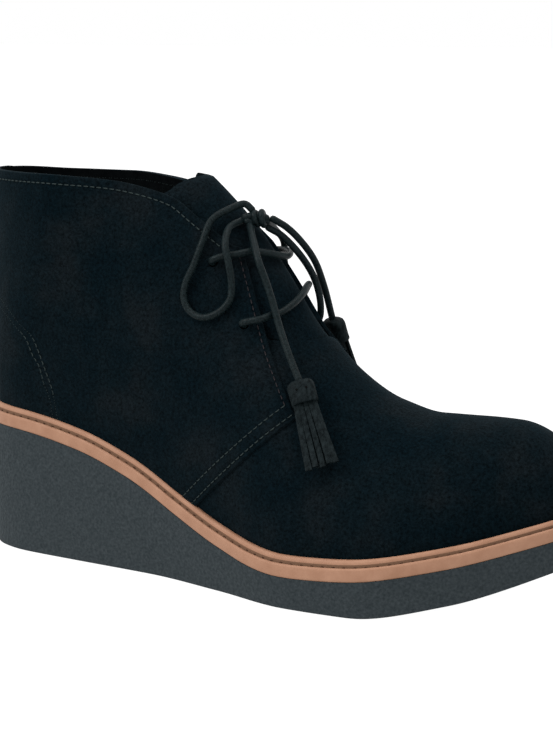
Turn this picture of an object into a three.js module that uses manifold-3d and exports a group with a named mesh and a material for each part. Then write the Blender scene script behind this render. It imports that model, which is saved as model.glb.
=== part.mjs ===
// Wedge ankle boot, right foot: rubber wedge sole, storm welt, suede chukka upper with a lace and tassels.
// Millimetres, +X toward the toe, +Y toward the inner side of the foot, +Z up, soles on Z = 0.
// Lengths are first measured from the heel's back edge. The origin is set below the middle at the end.

import * as THREE from 'three';
import { mergeVertices } from 'three/addons/utils/BufferGeometryUtils.js';
import Module from 'manifold-3d';

const wasm = await Module();
wasm.setup();

// Sole
const soleLength = 262;
const ballWidth = 92;
const wedgeHeight = 52;
const forefootHeight = 12;
const toeSpring = 20;
const heelBevel = 2.2;
const treadInset = 2;

// Welt
const weltHeight = 5.2;
const lipHeight = 3.2;
const shelfWidth = 1.4;
const grooveDepth = 0.7;
const edgeRound = 0.6;

// Upper
const featherInset = 5.4;
const wall = 1.6;
const quarterStep = 1.2;
const collarHeight = 154.5;
const medialDip = 2.2;
const collarLength = 88.5;
const collarMiddle = 46;
const collarWidth = 59;
const collarBack = 3.5;
const toeBoxHeight = 69.6;
const toeDrop = 25;
const trimAllowance = 11;
const seatAllowance = 9;
const facingTopX = 124;
const facingTopZ = 128.6;
const facingGap = 24;
const throatFootZ = 96;
const throatBackX = 105;
const quarterFootX = 113;
const quarterCornerX = 160;
const quarterCornerY = 30;
const quarterCornerZ = 67;
const medialFootX = 100;
const medialCornerX = 158;
const medialCornerY = 13.5;
const medialCornerZ = 88;

// Tongue, insole and lace
const tongueThickness = 2.2;
const tongueWidth = 36;
const tongueTopZ = 154.3;
const tongueFootZ = 84;
const tongueBackX = 80;
const insoleThickness = 3;
const laceDiameter = 2.8;
const laceHole = 4.8;
const holeReach = 7;
const laceTipDepth = 1.3;
const laceTipRise = 2.1;
const knotLength = 9.2;
const knotThickness = 5.2;
const tasselWidth = 10.4;
const tasselThickness = 7;
const tasselCapLength = 9.5;
const capRound = 2;
const capNeck = 0.45;
const capShoulder = 0.88;
const capMouth = 0.92;
const fringeLength = 26;
const fringeSpread = 14;
const stripThickness = 1.5;
const stripWidth = 3;
const stripOverlap = 0.1;
const stripTaper = 0.7;
const frontStrips = [-0.8, -0.4, 0, 0.4, 0.8];
const backStrips = [-0.6, -0.2, 0.2, 0.6];

// Fit, and how far cutting blocks reach past what they cut
const fitGap = 0.3;
const clearance = 20;

const SIDES = { lateral: -1, medial: 1 };
const SHAFT_COLUMNS = 13;
const FRONT_COLUMNS = 26;
const WALL_ROWS = 10;
const CROWN_ROWS = 4;
const CROWN_SHARE = 0.8;
const TOPLINE_STEPS = 20;
const HOLE_SIDES = 16;
const CAP_SIDES = 20;
const KNOT_SIDES = 12;
const KNOT_ROWS = 8;

// Plan outline of the sole. Each row is a turn in degrees round the foot, from the heel (0) to the toe
// (180), with the edge on each side as a share of ballWidth, positive toward the inner side.
const outlineRows = [
  { turn: 0, lateral: 0.0, medial: 0.0 },
  { turn: 14, lateral: -0.16, medial: 0.16 },
  { turn: 27, lateral: -0.28, medial: 0.28 },
  { turn: 41, lateral: -0.335, medial: 0.335 },
  { turn: 57, lateral: -0.348, medial: 0.326 },
  { turn: 74, lateral: -0.36, medial: 0.3 },
  { turn: 90, lateral: -0.427, medial: 0.326 },
  { turn: 105, lateral: -0.505, medial: 0.465 },
  { turn: 119, lateral: -0.482, medial: 0.518 },
  { turn: 134, lateral: -0.354, medial: 0.475 },
  { turn: 149, lateral: -0.178, medial: 0.39 },
  { turn: 163, lateral: -0.045, medial: 0.29 },
  { turn: 180, lateral: 0.127, medial: 0.127 },
];

// Side view of the sole, at shares of soleLength. Climb is the wedge's share of its rise above the
// forefoot, seatLift and treadLift the toe spring's share of the top and bottom, bevel the heel's.
const sideRows = [
  { at: -0.02, climb: 1.0, seatLift: 0, treadLift: 0, bevel: 1.3 },
  { at: 0.0, climb: 1.0, seatLift: 0, treadLift: 0, bevel: 1.0 },
  { at: 0.03, climb: 0.995, seatLift: 0, treadLift: 0, bevel: 0.22 },
  { at: 0.07, climb: 0.985, seatLift: 0, treadLift: 0, bevel: 0 },
  { at: 0.115, climb: 0.97, seatLift: 0, treadLift: 0, bevel: 0 },
  { at: 0.229, climb: 0.853, seatLift: 0, treadLift: 0, bevel: 0 },
  { at: 0.324, climb: 0.655, seatLift: 0, treadLift: 0, bevel: 0 },
  { at: 0.42, climb: 0.363, seatLift: 0, treadLift: 0, bevel: 0 },
  { at: 0.515, climb: 0.13, seatLift: 0, treadLift: 0, bevel: 0 },
  { at: 0.57, climb: 0.045, seatLift: 0, treadLift: 0, bevel: 0 },
  { at: 0.62, climb: 0.007, seatLift: 0.01, treadLift: 0, bevel: 0 },
  { at: 0.66, climb: 0, seatLift: 0.03, treadLift: 0, bevel: 0 },
  { at: 0.725, climb: 0, seatLift: 0.085, treadLift: 0, bevel: 0 },
  { at: 0.859, climb: 0, seatLift: 0.41, treadLift: 0.315, bevel: 0 },
  { at: 1.0, climb: 0, seatLift: 0.965, treadLift: 1.01, bevel: 0 },
  { at: 1.02, climb: 0, seatLift: 1.04, treadLift: 1.11, bevel: 0 },
];

// Ridge of the last from the collar's front over the instep to the toe, by the turn of the section that
// ends there: along is the share of the way to the toe, climb the share of the shaft's rise above the toe
// box, drop the toe's fall as a share of toeDrop, pull the breadth of the round as a share of ballWidth.
const ridgeRows = [
  { turn: 60, along: 0, climb: 1.0, drop: 0, pull: 0.3 },
  { turn: 74, along: 0.171, climb: 0.759, drop: 0, pull: 0.26 },
  { turn: 84, along: 0.284, climb: 0.54, drop: 0, pull: 0.25 },
  { turn: 94, along: 0.364, climb: 0.352, drop: 0, pull: 0.24 },
  { turn: 104, along: 0.462, climb: 0.158, drop: 0, pull: 0.25 },
  { turn: 114, along: 0.569, climb: 0.044, drop: 0, pull: 0.25 },
  { turn: 124, along: 0.679, climb: 0.001, drop: 0, pull: 0.26 },
  { turn: 134, along: 0.774, climb: 0, drop: 0, pull: 0.26 },
  { turn: 144, along: 0.853, climb: 0, drop: 0.02, pull: 0.24 },
  { turn: 154, along: 0.917, climb: 0, drop: 0.15, pull: 0.2 },
  { turn: 164, along: 0.963, climb: 0, drop: 0.39, pull: 0.14 },
  { turn: 172, along: 0.988, climb: 0, drop: 0.67, pull: 0.08 },
  { turn: 180, along: 1.0, climb: 0, drop: 1.0, pull: 0.05 },
];

// Lean of the upper where it leaves the sole: flare outward per unit of height on each side, and rise,
// the share of the height over which it acts.
const wallRows = [
  { turn: 0, lateralFlare: 0.14, medialFlare: 0.14, rise: 0.36 },
  { turn: 30, lateralFlare: 0.12, medialFlare: 0.12, rise: 0.36 },
  { turn: 50, lateralFlare: 0.13, medialFlare: 0.17, rise: 0.37 },
  { turn: 60, lateralFlare: 0.14, medialFlare: 0.2, rise: 0.38 },
  { turn: 74, lateralFlare: 0.18, medialFlare: 0.26, rise: 0.4 },
  { turn: 90, lateralFlare: 0.2, medialFlare: 0.26, rise: 0.44 },
  { turn: 110, lateralFlare: 0.2, medialFlare: 0.16, rise: 0.48 },
  { turn: 140, lateralFlare: 0.16, medialFlare: 0.1, rise: 0.52 },
  { turn: 165, lateralFlare: 0.1, medialFlare: 0.1, rise: 0.5 },
  { turn: 180, lateralFlare: 0.1, medialFlare: 0.1, rise: 0.4 },
];

// Top edge of the quarters in the side view: along is the share of the way from the heel to the facings'
// top corner, fall the share of the collar's height above it, dip the share of medialDip on that side.
const toplineRows = [
  { along: 0, fall: 0, dip: 0 },
  { along: 0.15, fall: 0, dip: 0.8 },
  { along: 0.35, fall: 0, dip: 1 },
  { along: 0.5, fall: 0.03, dip: 1 },
  { along: 0.6, fall: 0.08, dip: 0.8 },
  { along: 0.69, fall: 0.17, dip: 0.5 },
  { along: 0.79, fall: 0.32, dip: 0.2 },
  { along: 0.87, fall: 0.57, dip: 0 },
  { along: 0.93, fall: 0.77, dip: 0 },
  { along: 1.0, fall: 1.0, dip: 0 },
];

// Top edge of the tongue in the front view: across is the share of half its width, positive toward the
// inner side, fall the share of its height above the facings' tops.
const tongueTopRows = [
  { across: -1, fall: 0.42 },
  { across: -0.9, fall: 0.36 },
  { across: -0.69, fall: 0.23 },
  { across: -0.53, fall: 0.12 },
  { across: -0.28, fall: 0.035 },
  { across: 0, fall: 0.01 },
  { across: 0.5, fall: 0 },
  { across: 1, fall: 0.4 },
];

// Places of the punched lace holes on the faces of the quarters.
const laceHoles = {
  upperLateral: { side: 'lateral', x: 118.3, y: -19.8, z: 123.2 },
  lowerLateral: { side: 'lateral', x: 134.8, y: -23.7, z: 101.1 },
  upperMedial: { side: 'medial', x: 117, y: 19.3, z: 123 },
  lowerMedial: { side: 'medial', x: 123, y: 23.4, z: 100 },
};

// Middle of the lace where it crosses the throat from hole to hole, and where its bow's loops and its
// ends lie over the boot. Each row is a point x, y, z.
const laceBars = {
  lace_bar_lower: {
    from: 'lowerLateral',
    to: 'lowerMedial',
    over: [
      [139.2, -24.7, 102.9], [142.1, -23.4, 103.5], [143.9, -19.4, 104.6], [145.7, -16.0, 105.2],
      [147.2, -10.5, 107.4], [147.4, -3.0, 110.6], [144.5, 6.0, 113.0], [138.8, 16.2, 111.8],
      [129.8, 23.4, 104.0],
    ],
  },
  lace_bar_upper: {
    from: 'upperLateral',
    to: 'upperMedial',
    over: [
      [122.9, -20.5, 125.7], [127.8, -17.5, 126.6], [131.3, -13.0, 127.3], [134.3, -7.4, 126.4],
      [136.2, -1.5, 125.1], [136.0, 5.0, 124.2], [132.9, 12.2, 124.8], [126.0, 18.4, 124.8],
    ],
  },
};
const laceLengths = {
  lace_loop_lateral: [
    [125.4, -3.5, 142.3], [122.9, -4.5, 144.4], [119.6, -8.5, 143.0], [115.2, -15.9, 138.8],
    [114.3, -21.5, 130.2], [112.5, -24.4, 122.1], [110.3, -26.7, 115.3], [110.3, -28.0, 109.9],
    [113.2, -28.6, 105.2], [119.0, -28.4, 103.0], [125.0, -26.8, 105.0], [128.8, -24.4, 109.8],
    [128.7, -22.9, 115.8], [127.4, -22.9, 123.6], [124.7, -21.2, 130.4], [122.3, -14.6, 136.0],
    [122.3, -6.3, 137.9],
  ],
  lace_loop_medial: [
    [130.4, 0.5, 135.3], [133.6, 5.0, 132.0], [138.8, 10.6, 124.0], [141.2, 17.4, 114.0],
    [143.2, 18.2, 105.5], [141.6, 20.5, 99.0], [136.4, 24.0, 95.2], [129.9, 28.5, 99.3],
    [126.6, 27.6, 108.1], [123.6, 23.5, 118.5], [124.0, 22.0, 127.5], [125.8, 12.0, 133.8],
    [128.3, 2.6, 138.0],
  ],
  lace_end_lateral: [
    [126.5, -6.5, 136.3], [132.4, -13.2, 131.0], [137.4, -17.6, 124.4], [140.9, -18.3, 117.6],
    [144.4, -19.2, 110.4], [148.5, -20.9, 101.5], [154.1, -23.7, 92.4], [160.9, -26.6, 82.4],
  ],
  lace_end_medial: [
    [132.6, 0.4, 138.7], [135.4, 6.2, 135.0], [138.9, 10.9, 129.4], [141.4, 16.6, 121.8],
    [142.0, 22.9, 111.2], [142.6, 28.4, 97.8],
  ],
};
const knotMiddle = [127.2, -3.0, 138.9];
const knotAlong = [0.845, 0.535, 0];

// Each tassel hangs from an end of the lace. Down is the way it points and out the way its face looks.
const tassels = {
  tassel_lateral: {
    hangsFrom: 'lace_end_lateral',
    down: [0.488, -0.322, -0.811],
    out: [0.374, -0.766, 0.522],
  },
  tassel_medial: {
    hangsFrom: 'lace_end_medial',
    down: [0.155, 0.298, -0.942],
    out: [0.292, 0.897, 0.331],
  },
};

const noseTurn = ridgeRows[0].turn;
const swayTurn = 120;
const shaftPull = 0.3;
const shaftTurnShare = 0.3;
const collarBackPower = 1.1;
const collarSidePower = 0.9;
const holeDirection = { x: 0.3, y: 0.87, z: 0.38 };

// Smooth curve through a table's column, that never swings past a row's own value.
function curve(rows, by, name) {
  const steps = rows.slice(1).map((row, i) => (row[name] - rows[i][name]) / (row[by] - rows[i][by]));
  const slopes = rows.map((row, i) => {
    const before = steps[Math.max(i - 1, 0)];
    const after = steps[Math.min(i, steps.length - 1)];
    return before * after > 0 ? (2 * before * after) / (before + after) : 0;
  });
  return (value) => {
    let i = 0;
    while (i < steps.length - 1 && value > rows[i + 1][by]) {
      i += 1;
    }
    const span = rows[i + 1][by] - rows[i][by];
    const t = THREE.MathUtils.clamp((value - rows[i][by]) / span, 0, 1);
    const start = rows[i][name] * (1 - t) ** 2 * (1 + 2 * t) + rows[i + 1][name] * t ** 2 * (3 - 2 * t);
    return start + span * (slopes[i] * t * (1 - t) ** 2 - slopes[i + 1] * t ** 2 * (1 - t));
  };
}

const edgeShare = {
  lateral: curve(outlineRows, 'turn', 'lateral'),
  medial: curve(outlineRows, 'turn', 'medial'),
};
const climbShare = curve(sideRows, 'at', 'climb');
const seatLiftShare = curve(sideRows, 'at', 'seatLift');
const treadLiftShare = curve(sideRows, 'at', 'treadLift');
const bevelShare = curve(sideRows, 'at', 'bevel');

function seatZ(x) {
  const at = x / soleLength;
  return forefootHeight + (wedgeHeight - forefootHeight) * climbShare(at) + toeSpring * seatLiftShare(at);
}

function treadZ(x) {
  const at = x / soleLength;
  return toeSpring * treadLiftShare(at) + heelBevel * bevelShare(at);
}

function lengthAt(turn) {
  return (soleLength * (1 - Math.cos(THREE.MathUtils.degToRad(turn)))) / 2;
}

function planPoint(side, turn) {
  return new THREE.Vector2(lengthAt(turn), ballWidth * edgeShare[side](turn));
}

// Direction in plan that points out of the foot, square to its outline.
function outward(side, turn) {
  const step = 0.5;
  const ahead = planPoint(side, Math.min(turn + step, 180));
  const behind = planPoint(side, Math.max(turn - step, 0));
  const run = ahead.sub(behind);
  if (turn === 0 || turn === 180) {
    return new THREE.Vector2(turn === 0 ? -1 : 1, 0);
  }
  return new THREE.Vector2(-run.y, run.x).multiplyScalar(SIDES[side]).normalize();
}

function insetPoint(side, turn, inset) {
  return planPoint(side, turn).sub(outward(side, turn).multiplyScalar(inset));
}

function turnsRound() {
  const shaft = Array.from({ length: SHAFT_COLUMNS }, (_, i) => (noseTurn * i) / SHAFT_COLUMNS);
  const front = Array.from({ length: FRONT_COLUMNS + 1 }, (_, i) => i / FRONT_COLUMNS);
  return [...shaft, ...front.map((share) => THREE.MathUtils.lerp(noseTurn, 180, share))];
}

// A closed ring round the foot: heel, lateral side, toe, medial side. place(side, turn) gives a point.
function ringOf(place) {
  const turns = turnsRound();
  const lateral = turns.map((turn) => place('lateral', turn));
  const medial = turns.slice(1, -1).map((turn) => place('medial', turn));
  return [...lateral, ...medial.reverse()];
}

function outlineRing(inset, height) {
  return ringOf((side, turn) => {
    const p = insetPoint(side, turn, inset);
    return new THREE.Vector3(p.x, p.y, height(p.x));
  });
}

// Solid through a stack of rings. Its ends are closed across the foot, or it closes on itself as a loop.
function loft(rings, closedLoop) {
  const count = rings[0].length;
  const index = [];
  const quad = (a, b, c, d) => {
    index.push(a, b, c, a, c, d);
  };
  const layers = closedLoop ? rings.length : rings.length - 1;
  for (let k = 0; k < layers; k += 1) {
    const low = k * count;
    const high = ((k + 1) % rings.length) * count;
    for (let i = 0; i < count; i += 1) {
      const next = (i + 1) % count;
      quad(low + i, low + next, high + next, high + i);
    }
  }
  if (!closedLoop) {
    const top = (rings.length - 1) * count;
    for (let i = 0; i < count / 2; i += 1) {
      const across = (count - i) % count;
      quad(top + i, top + i + 1, top + count - i - 1, top + across);
      quad(across, count - i - 1, i + 1, i);
    }
  }
  const geometry = new THREE.BufferGeometry().setFromPoints(rings.flat());
  geometry.setIndex(index);
  return geometry;
}

// Shared corners only, without triangles that have shrunk to a line.
function weld(geometry) {
  const bare = geometry.clone();
  bare.deleteAttribute('normal');
  bare.deleteAttribute('uv');
  const merged = mergeVertices(bare, 1e-4);
  const kept = [];
  const corners = merged.index.array;
  for (let i = 0; i < corners.length; i += 3) {
    const [a, b, c] = corners.slice(i, i + 3);
    if (a !== b && b !== c && c !== a) {
      kept.push(a, b, c);
    }
  }
  merged.setIndex(kept);
  return merged;
}

function solid(geometry) {
  const welded = weld(geometry);
  const vertProperties = new Float32Array(welded.attributes.position.array);
  const triVerts = new Uint32Array(welded.index.array);
  return new wasm.Manifold(new wasm.Mesh({ numProp: 3, vertProperties, triVerts }));
}

function shape(body) {
  const mesh = body.getMesh();
  const geometry = new THREE.BufferGeometry();
  geometry.setAttribute('position', new THREE.BufferAttribute(mesh.vertProperties, 3));
  geometry.setIndex(new THREE.BufferAttribute(mesh.triVerts, 1));
  geometry.computeVertexNormals();
  return geometry;
}

// Moves a closed surface along its own normals.
function grow(geometry, distance) {
  const grown = weld(geometry);
  grown.computeVertexNormals();
  const { position, normal } = grown.attributes;
  for (let i = 0; i < position.count; i += 1) {
    const x = position.getX(i) + distance * normal.getX(i);
    const y = position.getY(i) + distance * normal.getY(i);
    const z = position.getZ(i) + distance * normal.getZ(i);
    position.setXYZ(i, x, y, z);
  }
  return grown;
}

// Block whose outline is drawn in the side view and that reaches from one y to another.
function sideBlock(outline, fromY, toY) {
  const drawn = new THREE.Shape(outline.map(([x, z]) => new THREE.Vector2(x, z)));
  const block = new THREE.ExtrudeGeometry(drawn, { depth: toY - fromY, bevelEnabled: false });
  block.rotateX(Math.PI / 2);
  block.translate(0, toY, 0);
  return solid(block);
}

// Block whose outline is drawn in the front view and that reaches from one x to another.
function frontBlock(outline, fromX, toX) {
  const drawn = new THREE.Shape(outline.map(([y, z]) => new THREE.Vector2(y, z)));
  const block = new THREE.ExtrudeGeometry(drawn, { depth: toX - fromX, bevelEnabled: false });
  block.rotateX(Math.PI / 2);
  block.rotateZ(Math.PI / 2);
  block.translate(fromX, 0, 0);
  return solid(block);
}

// Last
const lastTop = collarHeight + trimAllowance;
const ridgeAlong = curve(ridgeRows, 'turn', 'along');
const ridgeClimb = curve(ridgeRows, 'turn', 'climb');
const ridgeDrop = curve(ridgeRows, 'turn', 'drop');
const ridgePull = curve(ridgeRows, 'turn', 'pull');
const flare = {
  lateral: curve(wallRows, 'turn', 'lateralFlare'),
  medial: curve(wallRows, 'turn', 'medialFlare'),
};
const riseShare = curve(wallRows, 'turn', 'rise');

function ridgePoint(turn) {
  const middle = (ballWidth * (edgeShare.lateral(turn) + edgeShare.medial(turn))) / 2;
  const z = toeBoxHeight + (lastTop - toeBoxHeight) * ridgeClimb(turn) - toeDrop * ridgeDrop(turn);
  const nose = collarBack + collarLength;
  const x = THREE.MathUtils.lerp(nose, soleLength - featherInset, ridgeAlong(turn));
  const sway = THREE.MathUtils.smoothstep(turn, noseTurn, swayTurn);
  return new THREE.Vector3(x, middle * sway, z);
}

// Section of the foot's front, from the sole's edge up the side and over to the ridge.
function frontSection(side, turn) {
  const foot = footPoint(side, turn);
  const head = ridgePoint(turn);
  const pull = new THREE.Vector3(0, SIDES[side] * ballWidth * ridgePull(turn), 0);
  const footHandle = foot.clone().addScaledVector(leanAt(side, turn), riseShare(turn) * (head.z - foot.z));
  return new THREE.CubicBezierCurve3(foot, footHandle, head.clone().add(pull), head);
}

// The two halves of a section, split at a share of its run.
function split(section, share) {
  const { v0, v1, v2, v3 } = section;
  const between = (a, b) => a.clone().lerp(b, share);
  const low = between(v0, v1);
  const middle = between(v1, v2);
  const high = between(v2, v3);
  const lowMiddle = between(low, middle);
  const highMiddle = between(middle, high);
  const joint = between(lowMiddle, highMiddle);
  return {
    wallPart: new THREE.CubicBezierCurve3(v0, low, lowMiddle, joint),
    crownPart: new THREE.CubicBezierCurve3(joint, highMiddle, high, v3),
  };
}

function footPoint(side, turn) {
  const edge = insetPoint(side, turn, featherInset);
  return new THREE.Vector3(edge.x, edge.y, seatZ(edge.x));
}

function leanAt(side, turn) {
  const out = outward(side, turn);
  return new THREE.Vector3(out.x * flare[side](turn), out.y * flare[side](turn), 1);
}

// Top of the shaft: round the heel, then along the side to meet the first front section.
function collarPoint(side, turn) {
  const middle = new THREE.Vector3(collarMiddle, (SIDES[side] * collarWidth) / 2, lastTop);
  if (turn < noseTurn / 2) {
    const angle = (Math.PI * turn) / noseTurn;
    const x = middle.x - (collarMiddle - collarBack) * Math.cos(angle) ** collarBackPower;
    return new THREE.Vector3(x, middle.y * Math.sin(angle) ** collarSidePower, lastTop);
  }
  const step = 1;
  const end = frontSection(side, noseTurn).getPoint(CROWN_SHARE);
  const heading = frontSection(side, noseTurn + step).getPoint(CROWN_SHARE).sub(end).normalize();
  const reach = (end.x - middle.x) / 3;
  const start = middle.clone().setX(middle.x + reach);
  const endHandle = end.clone().addScaledVector(heading, -reach);
  return new THREE.CubicBezierCurve3(middle, start, endHandle, end).getPoint((2 * turn) / noseTurn - 1);
}

// Section of the shaft, from the sole's edge to the collar. It turns into the first front section.
function shaftSection(side, turn) {
  const first = split(frontSection(side, noseTurn), CROWN_SHARE).wallPart;
  const share = THREE.MathUtils.smoothstep(turn, noseTurn * shaftTurnShare, noseTurn);
  const foot = footPoint(side, turn);
  const head = collarPoint(side, turn);
  const height = head.z - foot.z;
  const firstRise = (first.v1.z - first.v0.z) / (first.v3.z - first.v0.z);
  const rise = THREE.MathUtils.lerp(riseShare(turn), firstRise, share) * height;
  const down = new THREE.Vector3(0, 0, -shaftPull * height).lerp(first.v2.clone().sub(first.v3), share);
  const footHandle = foot.clone().addScaledVector(leanAt(side, turn), rise);
  return new THREE.CubicBezierCurve3(foot, footHandle, head.clone().add(down), head);
}

// Point of the last at a side and turn, on a row counted from the sole's edge.
function lastPoint(side, turn, row) {
  if (turn < noseTurn) {
    return shaftSection(side, turn).getPoint(Math.min(row / WALL_ROWS, 1));
  }
  const { wallPart, crownPart } = split(frontSection(side, turn), CROWN_SHARE);
  return row < WALL_ROWS
    ? wallPart.getPoint(row / WALL_ROWS)
    : crownPart.getPoint((row - WALL_ROWS) / CROWN_ROWS);
}

function lastForm() {
  const below = ringOf((side, turn) => {
    const foot = footPoint(side, turn);
    return foot.setZ(foot.z - seatAllowance);
  });
  const rings = [below];
  for (let row = 0; row <= WALL_ROWS + CROWN_ROWS; row += 1) {
    rings.push(ringOf((side, turn) => lastPoint(side, turn, row)));
  }
  return loft(rings, false);
}

const last = lastForm();
const vampOuter = solid(last);
const quarterOuter = solid(grow(last, quarterStep));
const inside = solid(grow(last, -wall));

// Cutters
const farY = ballWidth;
const frontX = soleLength + clearance;
const backX = -clearance;
const lowZ = -clearance;
const highZ = lastTop + clearance;

function seatLine(rise) {
  const stations = turnsRound().map(lengthAt);
  return [backX, ...stations, frontX].map((x) => [x, seatZ(x) + rise]);
}

const belowSeat = sideBlock([...seatLine(fitGap), [frontX, lowZ], [backX, lowZ]], -farY, farY);

const toplineFall = curve(toplineRows, 'along', 'fall');
const toplineDip = curve(toplineRows, 'along', 'dip');

// What lies above the top edge of one quarter, whose collar dips by up to the given height.
function aboveTopline(dip, fromY, toY) {
  const edge = Array.from({ length: TOPLINE_STEPS + 1 }, (_, i) => {
    const along = i / TOPLINE_STEPS;
    const fall = (collarHeight - facingTopZ) * toplineFall(along) + dip * toplineDip(along);
    return [facingTopX * along, collarHeight - fall];
  });
  const ends = [[frontX, facingTopZ], [frontX, highZ], [backX, highZ], [backX, collarHeight]];
  return sideBlock([...edge, ...ends], fromY, toY);
}

const aboveCollar = aboveTopline(0, -farY, 0).add(aboveTopline(medialDip, 0, farY));

// Lower front corner of each quarter, where its facing meets its slanted edge.
const quarterCorners = {
  lateral: { footX: quarterFootX, x: quarterCornerX, y: quarterCornerY, z: quarterCornerZ },
  medial: { footX: medialFootX, x: medialCornerX, y: medialCornerY, z: medialCornerZ },
};

function facingY(side, z) {
  const corner = quarterCorners[side];
  const share = (facingTopZ - z) / (facingTopZ - corner.z);
  return SIDES[side] * THREE.MathUtils.lerp(facingGap / 2, corner.y, share);
}

// Front view of the throat, narrow between the facings' tops and wider toward its foot.
function throatBlock(foot) {
  const top = facingGap / 2;
  const outline = [...foot, [top, facingTopZ], [top, highZ], [-top, highZ], [-top, facingTopZ]];
  return frontBlock(outline, throatBackX, frontX);
}

const vampThroat = throatBlock([
  [facingY('lateral', throatFootZ), throatFootZ],
  [facingY('medial', throatFootZ), throatFootZ],
]);
const quarterThroat = throatBlock([
  [-quarterCornerY, quarterCornerZ],
  [0, quarterCornerZ],
  [medialCornerY, medialCornerZ],
]);

// What lies behind a quarter's slanted front edge in the side view, or up to a gap in front of that edge.
function behindSlant(side, gap, fromY, toY) {
  const { footX, x, z } = quarterCorners[side];
  const reach = clearance / 2;
  const edge = [[footX, lowZ], [footX, seatZ(footX)], [x, z], [x + reach, z + reach], [x + reach, highZ]];
  const ahead = edge.map(([edgeX, edgeZ]) => [edgeX + gap, edgeZ]);
  return sideBlock([[backX, lowZ], ...ahead, [backX, highZ]], fromY, toY);
}

function behindSlants(gap) {
  return behindSlant('lateral', gap, -farY, 0).add(behindSlant('medial', gap, 0, farY));
}

function holeAxis({ side }) {
  const { x, y, z } = holeDirection;
  return new THREE.Vector3(x, y * SIDES[side], z).normalize();
}

function holePoint(hole, rise) {
  return new THREE.Vector3(hole.x, hole.y, hole.z).addScaledVector(holeAxis(hole), rise);
}

function holePin(hole) {
  const pin = new THREE.CylinderGeometry(laceHole / 2, laceHole / 2, 2 * holeReach, HOLE_SIDES);
  pin.applyQuaternion(new THREE.Quaternion().setFromUnitVectors(new THREE.Vector3(0, 1, 0), holeAxis(hole)));
  pin.translate(hole.x, hole.y, hole.z);
  return solid(pin);
}

const vamp = vampOuter.subtract(inside).subtract(vampThroat);
const quarters = quarterOuter.subtract(inside).subtract(quarterThroat).intersect(behindSlants(0));
const shell = vamp.add(quarters).subtract(belowSeat).subtract(aboveCollar);
const upper = Object.values(laceHoles).reduce((body, hole) => body.subtract(holePin(hole)), shell);

const object = new THREE.Group();

function addPiece(name, geometry, color, roughness) {
  const mesh = new THREE.Mesh(geometry, new THREE.MeshStandardMaterial({ color, roughness, metalness: 0 }));
  mesh.name = name;
  object.add(mesh);
}

const sole = loft([outlineRing(treadInset, treadZ), outlineRing(0, seatZ)], false);

function weltRing(inset, rise) {
  return outlineRing(inset, (x) => seatZ(x) + rise);
}

const lipFoot = shelfWidth + edgeRound;
const weltBand = loft([
  weltRing(0, fitGap),
  weltRing(0, weltHeight - edgeRound),
  weltRing(edgeRound, weltHeight),
  weltRing(shelfWidth, weltHeight - grooveDepth),
  weltRing(lipFoot, weltHeight + lipHeight - edgeRound),
  weltRing(lipFoot + edgeRound, weltHeight + lipHeight),
  weltRing(featherInset + wall / 2, weltHeight + lipHeight),
  weltRing(featherInset + wall / 2, fitGap),
], true);
const vampRoom = solid(grow(last, fitGap));
const quarterRoom = solid(grow(last, quarterStep + fitGap)).intersect(behindSlants(2 * fitGap));
const welt = solid(weltBand).subtract(vampRoom).subtract(quarterRoom);

const insoleInset = featherInset + wall + 2 * fitGap;
const insole = loft([
  outlineRing(insoleInset, (x) => seatZ(x) + fitGap),
  outlineRing(insoleInset, (x) => seatZ(x) + fitGap + insoleThickness),
], false);

const tongueOuter = solid(grow(last, -wall - fitGap));
const tongueInner = solid(grow(last, -wall - fitGap - tongueThickness));
const tongueTop = tongueTopRows.map(({ across, fall }) => [
  (across * tongueWidth) / 2,
  tongueTopZ - fall * (tongueTopZ - facingTopZ),
]);
const tongueBlock = frontBlock(
  [[-tongueWidth / 2, tongueFootZ], [tongueWidth / 2, tongueFootZ], ...tongueTop.reverse()],
  tongueBackX,
  frontX,
);
const tongue = tongueOuter.subtract(tongueInner).intersect(tongueBlock);

// Lace
function laceTube(points) {
  const route = new THREE.CatmullRomCurve3(points);
  const section = new THREE.Shape().absarc(0, 0, laceDiameter / 2, 0, 2 * Math.PI);
  const steps = Math.round(route.getLength() / (2 * laceDiameter));
  const tube = new THREE.ExtrudeGeometry(section, { steps, curveSegments: 4, extrudePath: route });
  return shape(solid(tube));
}

function asVectors(rows) {
  return rows.map((row) => new THREE.Vector3(...row));
}

function barPoints({ from, to, over }) {
  const tips = (hole) => [holePoint(hole, -laceTipDepth), holePoint(hole, laceTipRise)];
  return [...tips(laceHoles[from]), ...asVectors(over), ...tips(laceHoles[to]).reverse()];
}

// A wrapped lump: a long round with two cross turns of the lace over it.
function knotBody() {
  const round = new THREE.SphereGeometry(1, KNOT_SIDES, KNOT_ROWS);
  round.scale(knotLength / 2, knotThickness / 2, knotThickness / 2);
  const along = new THREE.Vector3(...knotAlong).normalize();
  const up = new THREE.Vector3(0, 0, 1);
  const turned = new THREE.Matrix4().makeBasis(along, new THREE.Vector3().crossVectors(up, along), up);
  turned.setPosition(...knotMiddle);
  return shape(solid(round.applyMatrix4(turned)));
}

// One flat strip of the fringe, leaning to one side, tapered toward the cap.
function strip(offset, width, face) {
  const halfWidth = width / 2;
  const top = tasselCapLength - capRound;
  const foot = tasselCapLength + fringeLength;
  const spread = (offset * fringeSpread) / 2;
  const root = (offset * (tasselWidth - capRound)) / 2;
  const outline = new THREE.Shape([
    new THREE.Vector2(root - halfWidth * stripTaper, top),
    new THREE.Vector2(root + halfWidth * stripTaper, top),
    new THREE.Vector2(spread + halfWidth, foot),
    new THREE.Vector2(spread - halfWidth, foot),
  ]);
  const body = new THREE.ExtrudeGeometry(outline, { depth: stripThickness, bevelEnabled: false });
  body.translate(0, 0, face);
  return solid(body);
}

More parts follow.
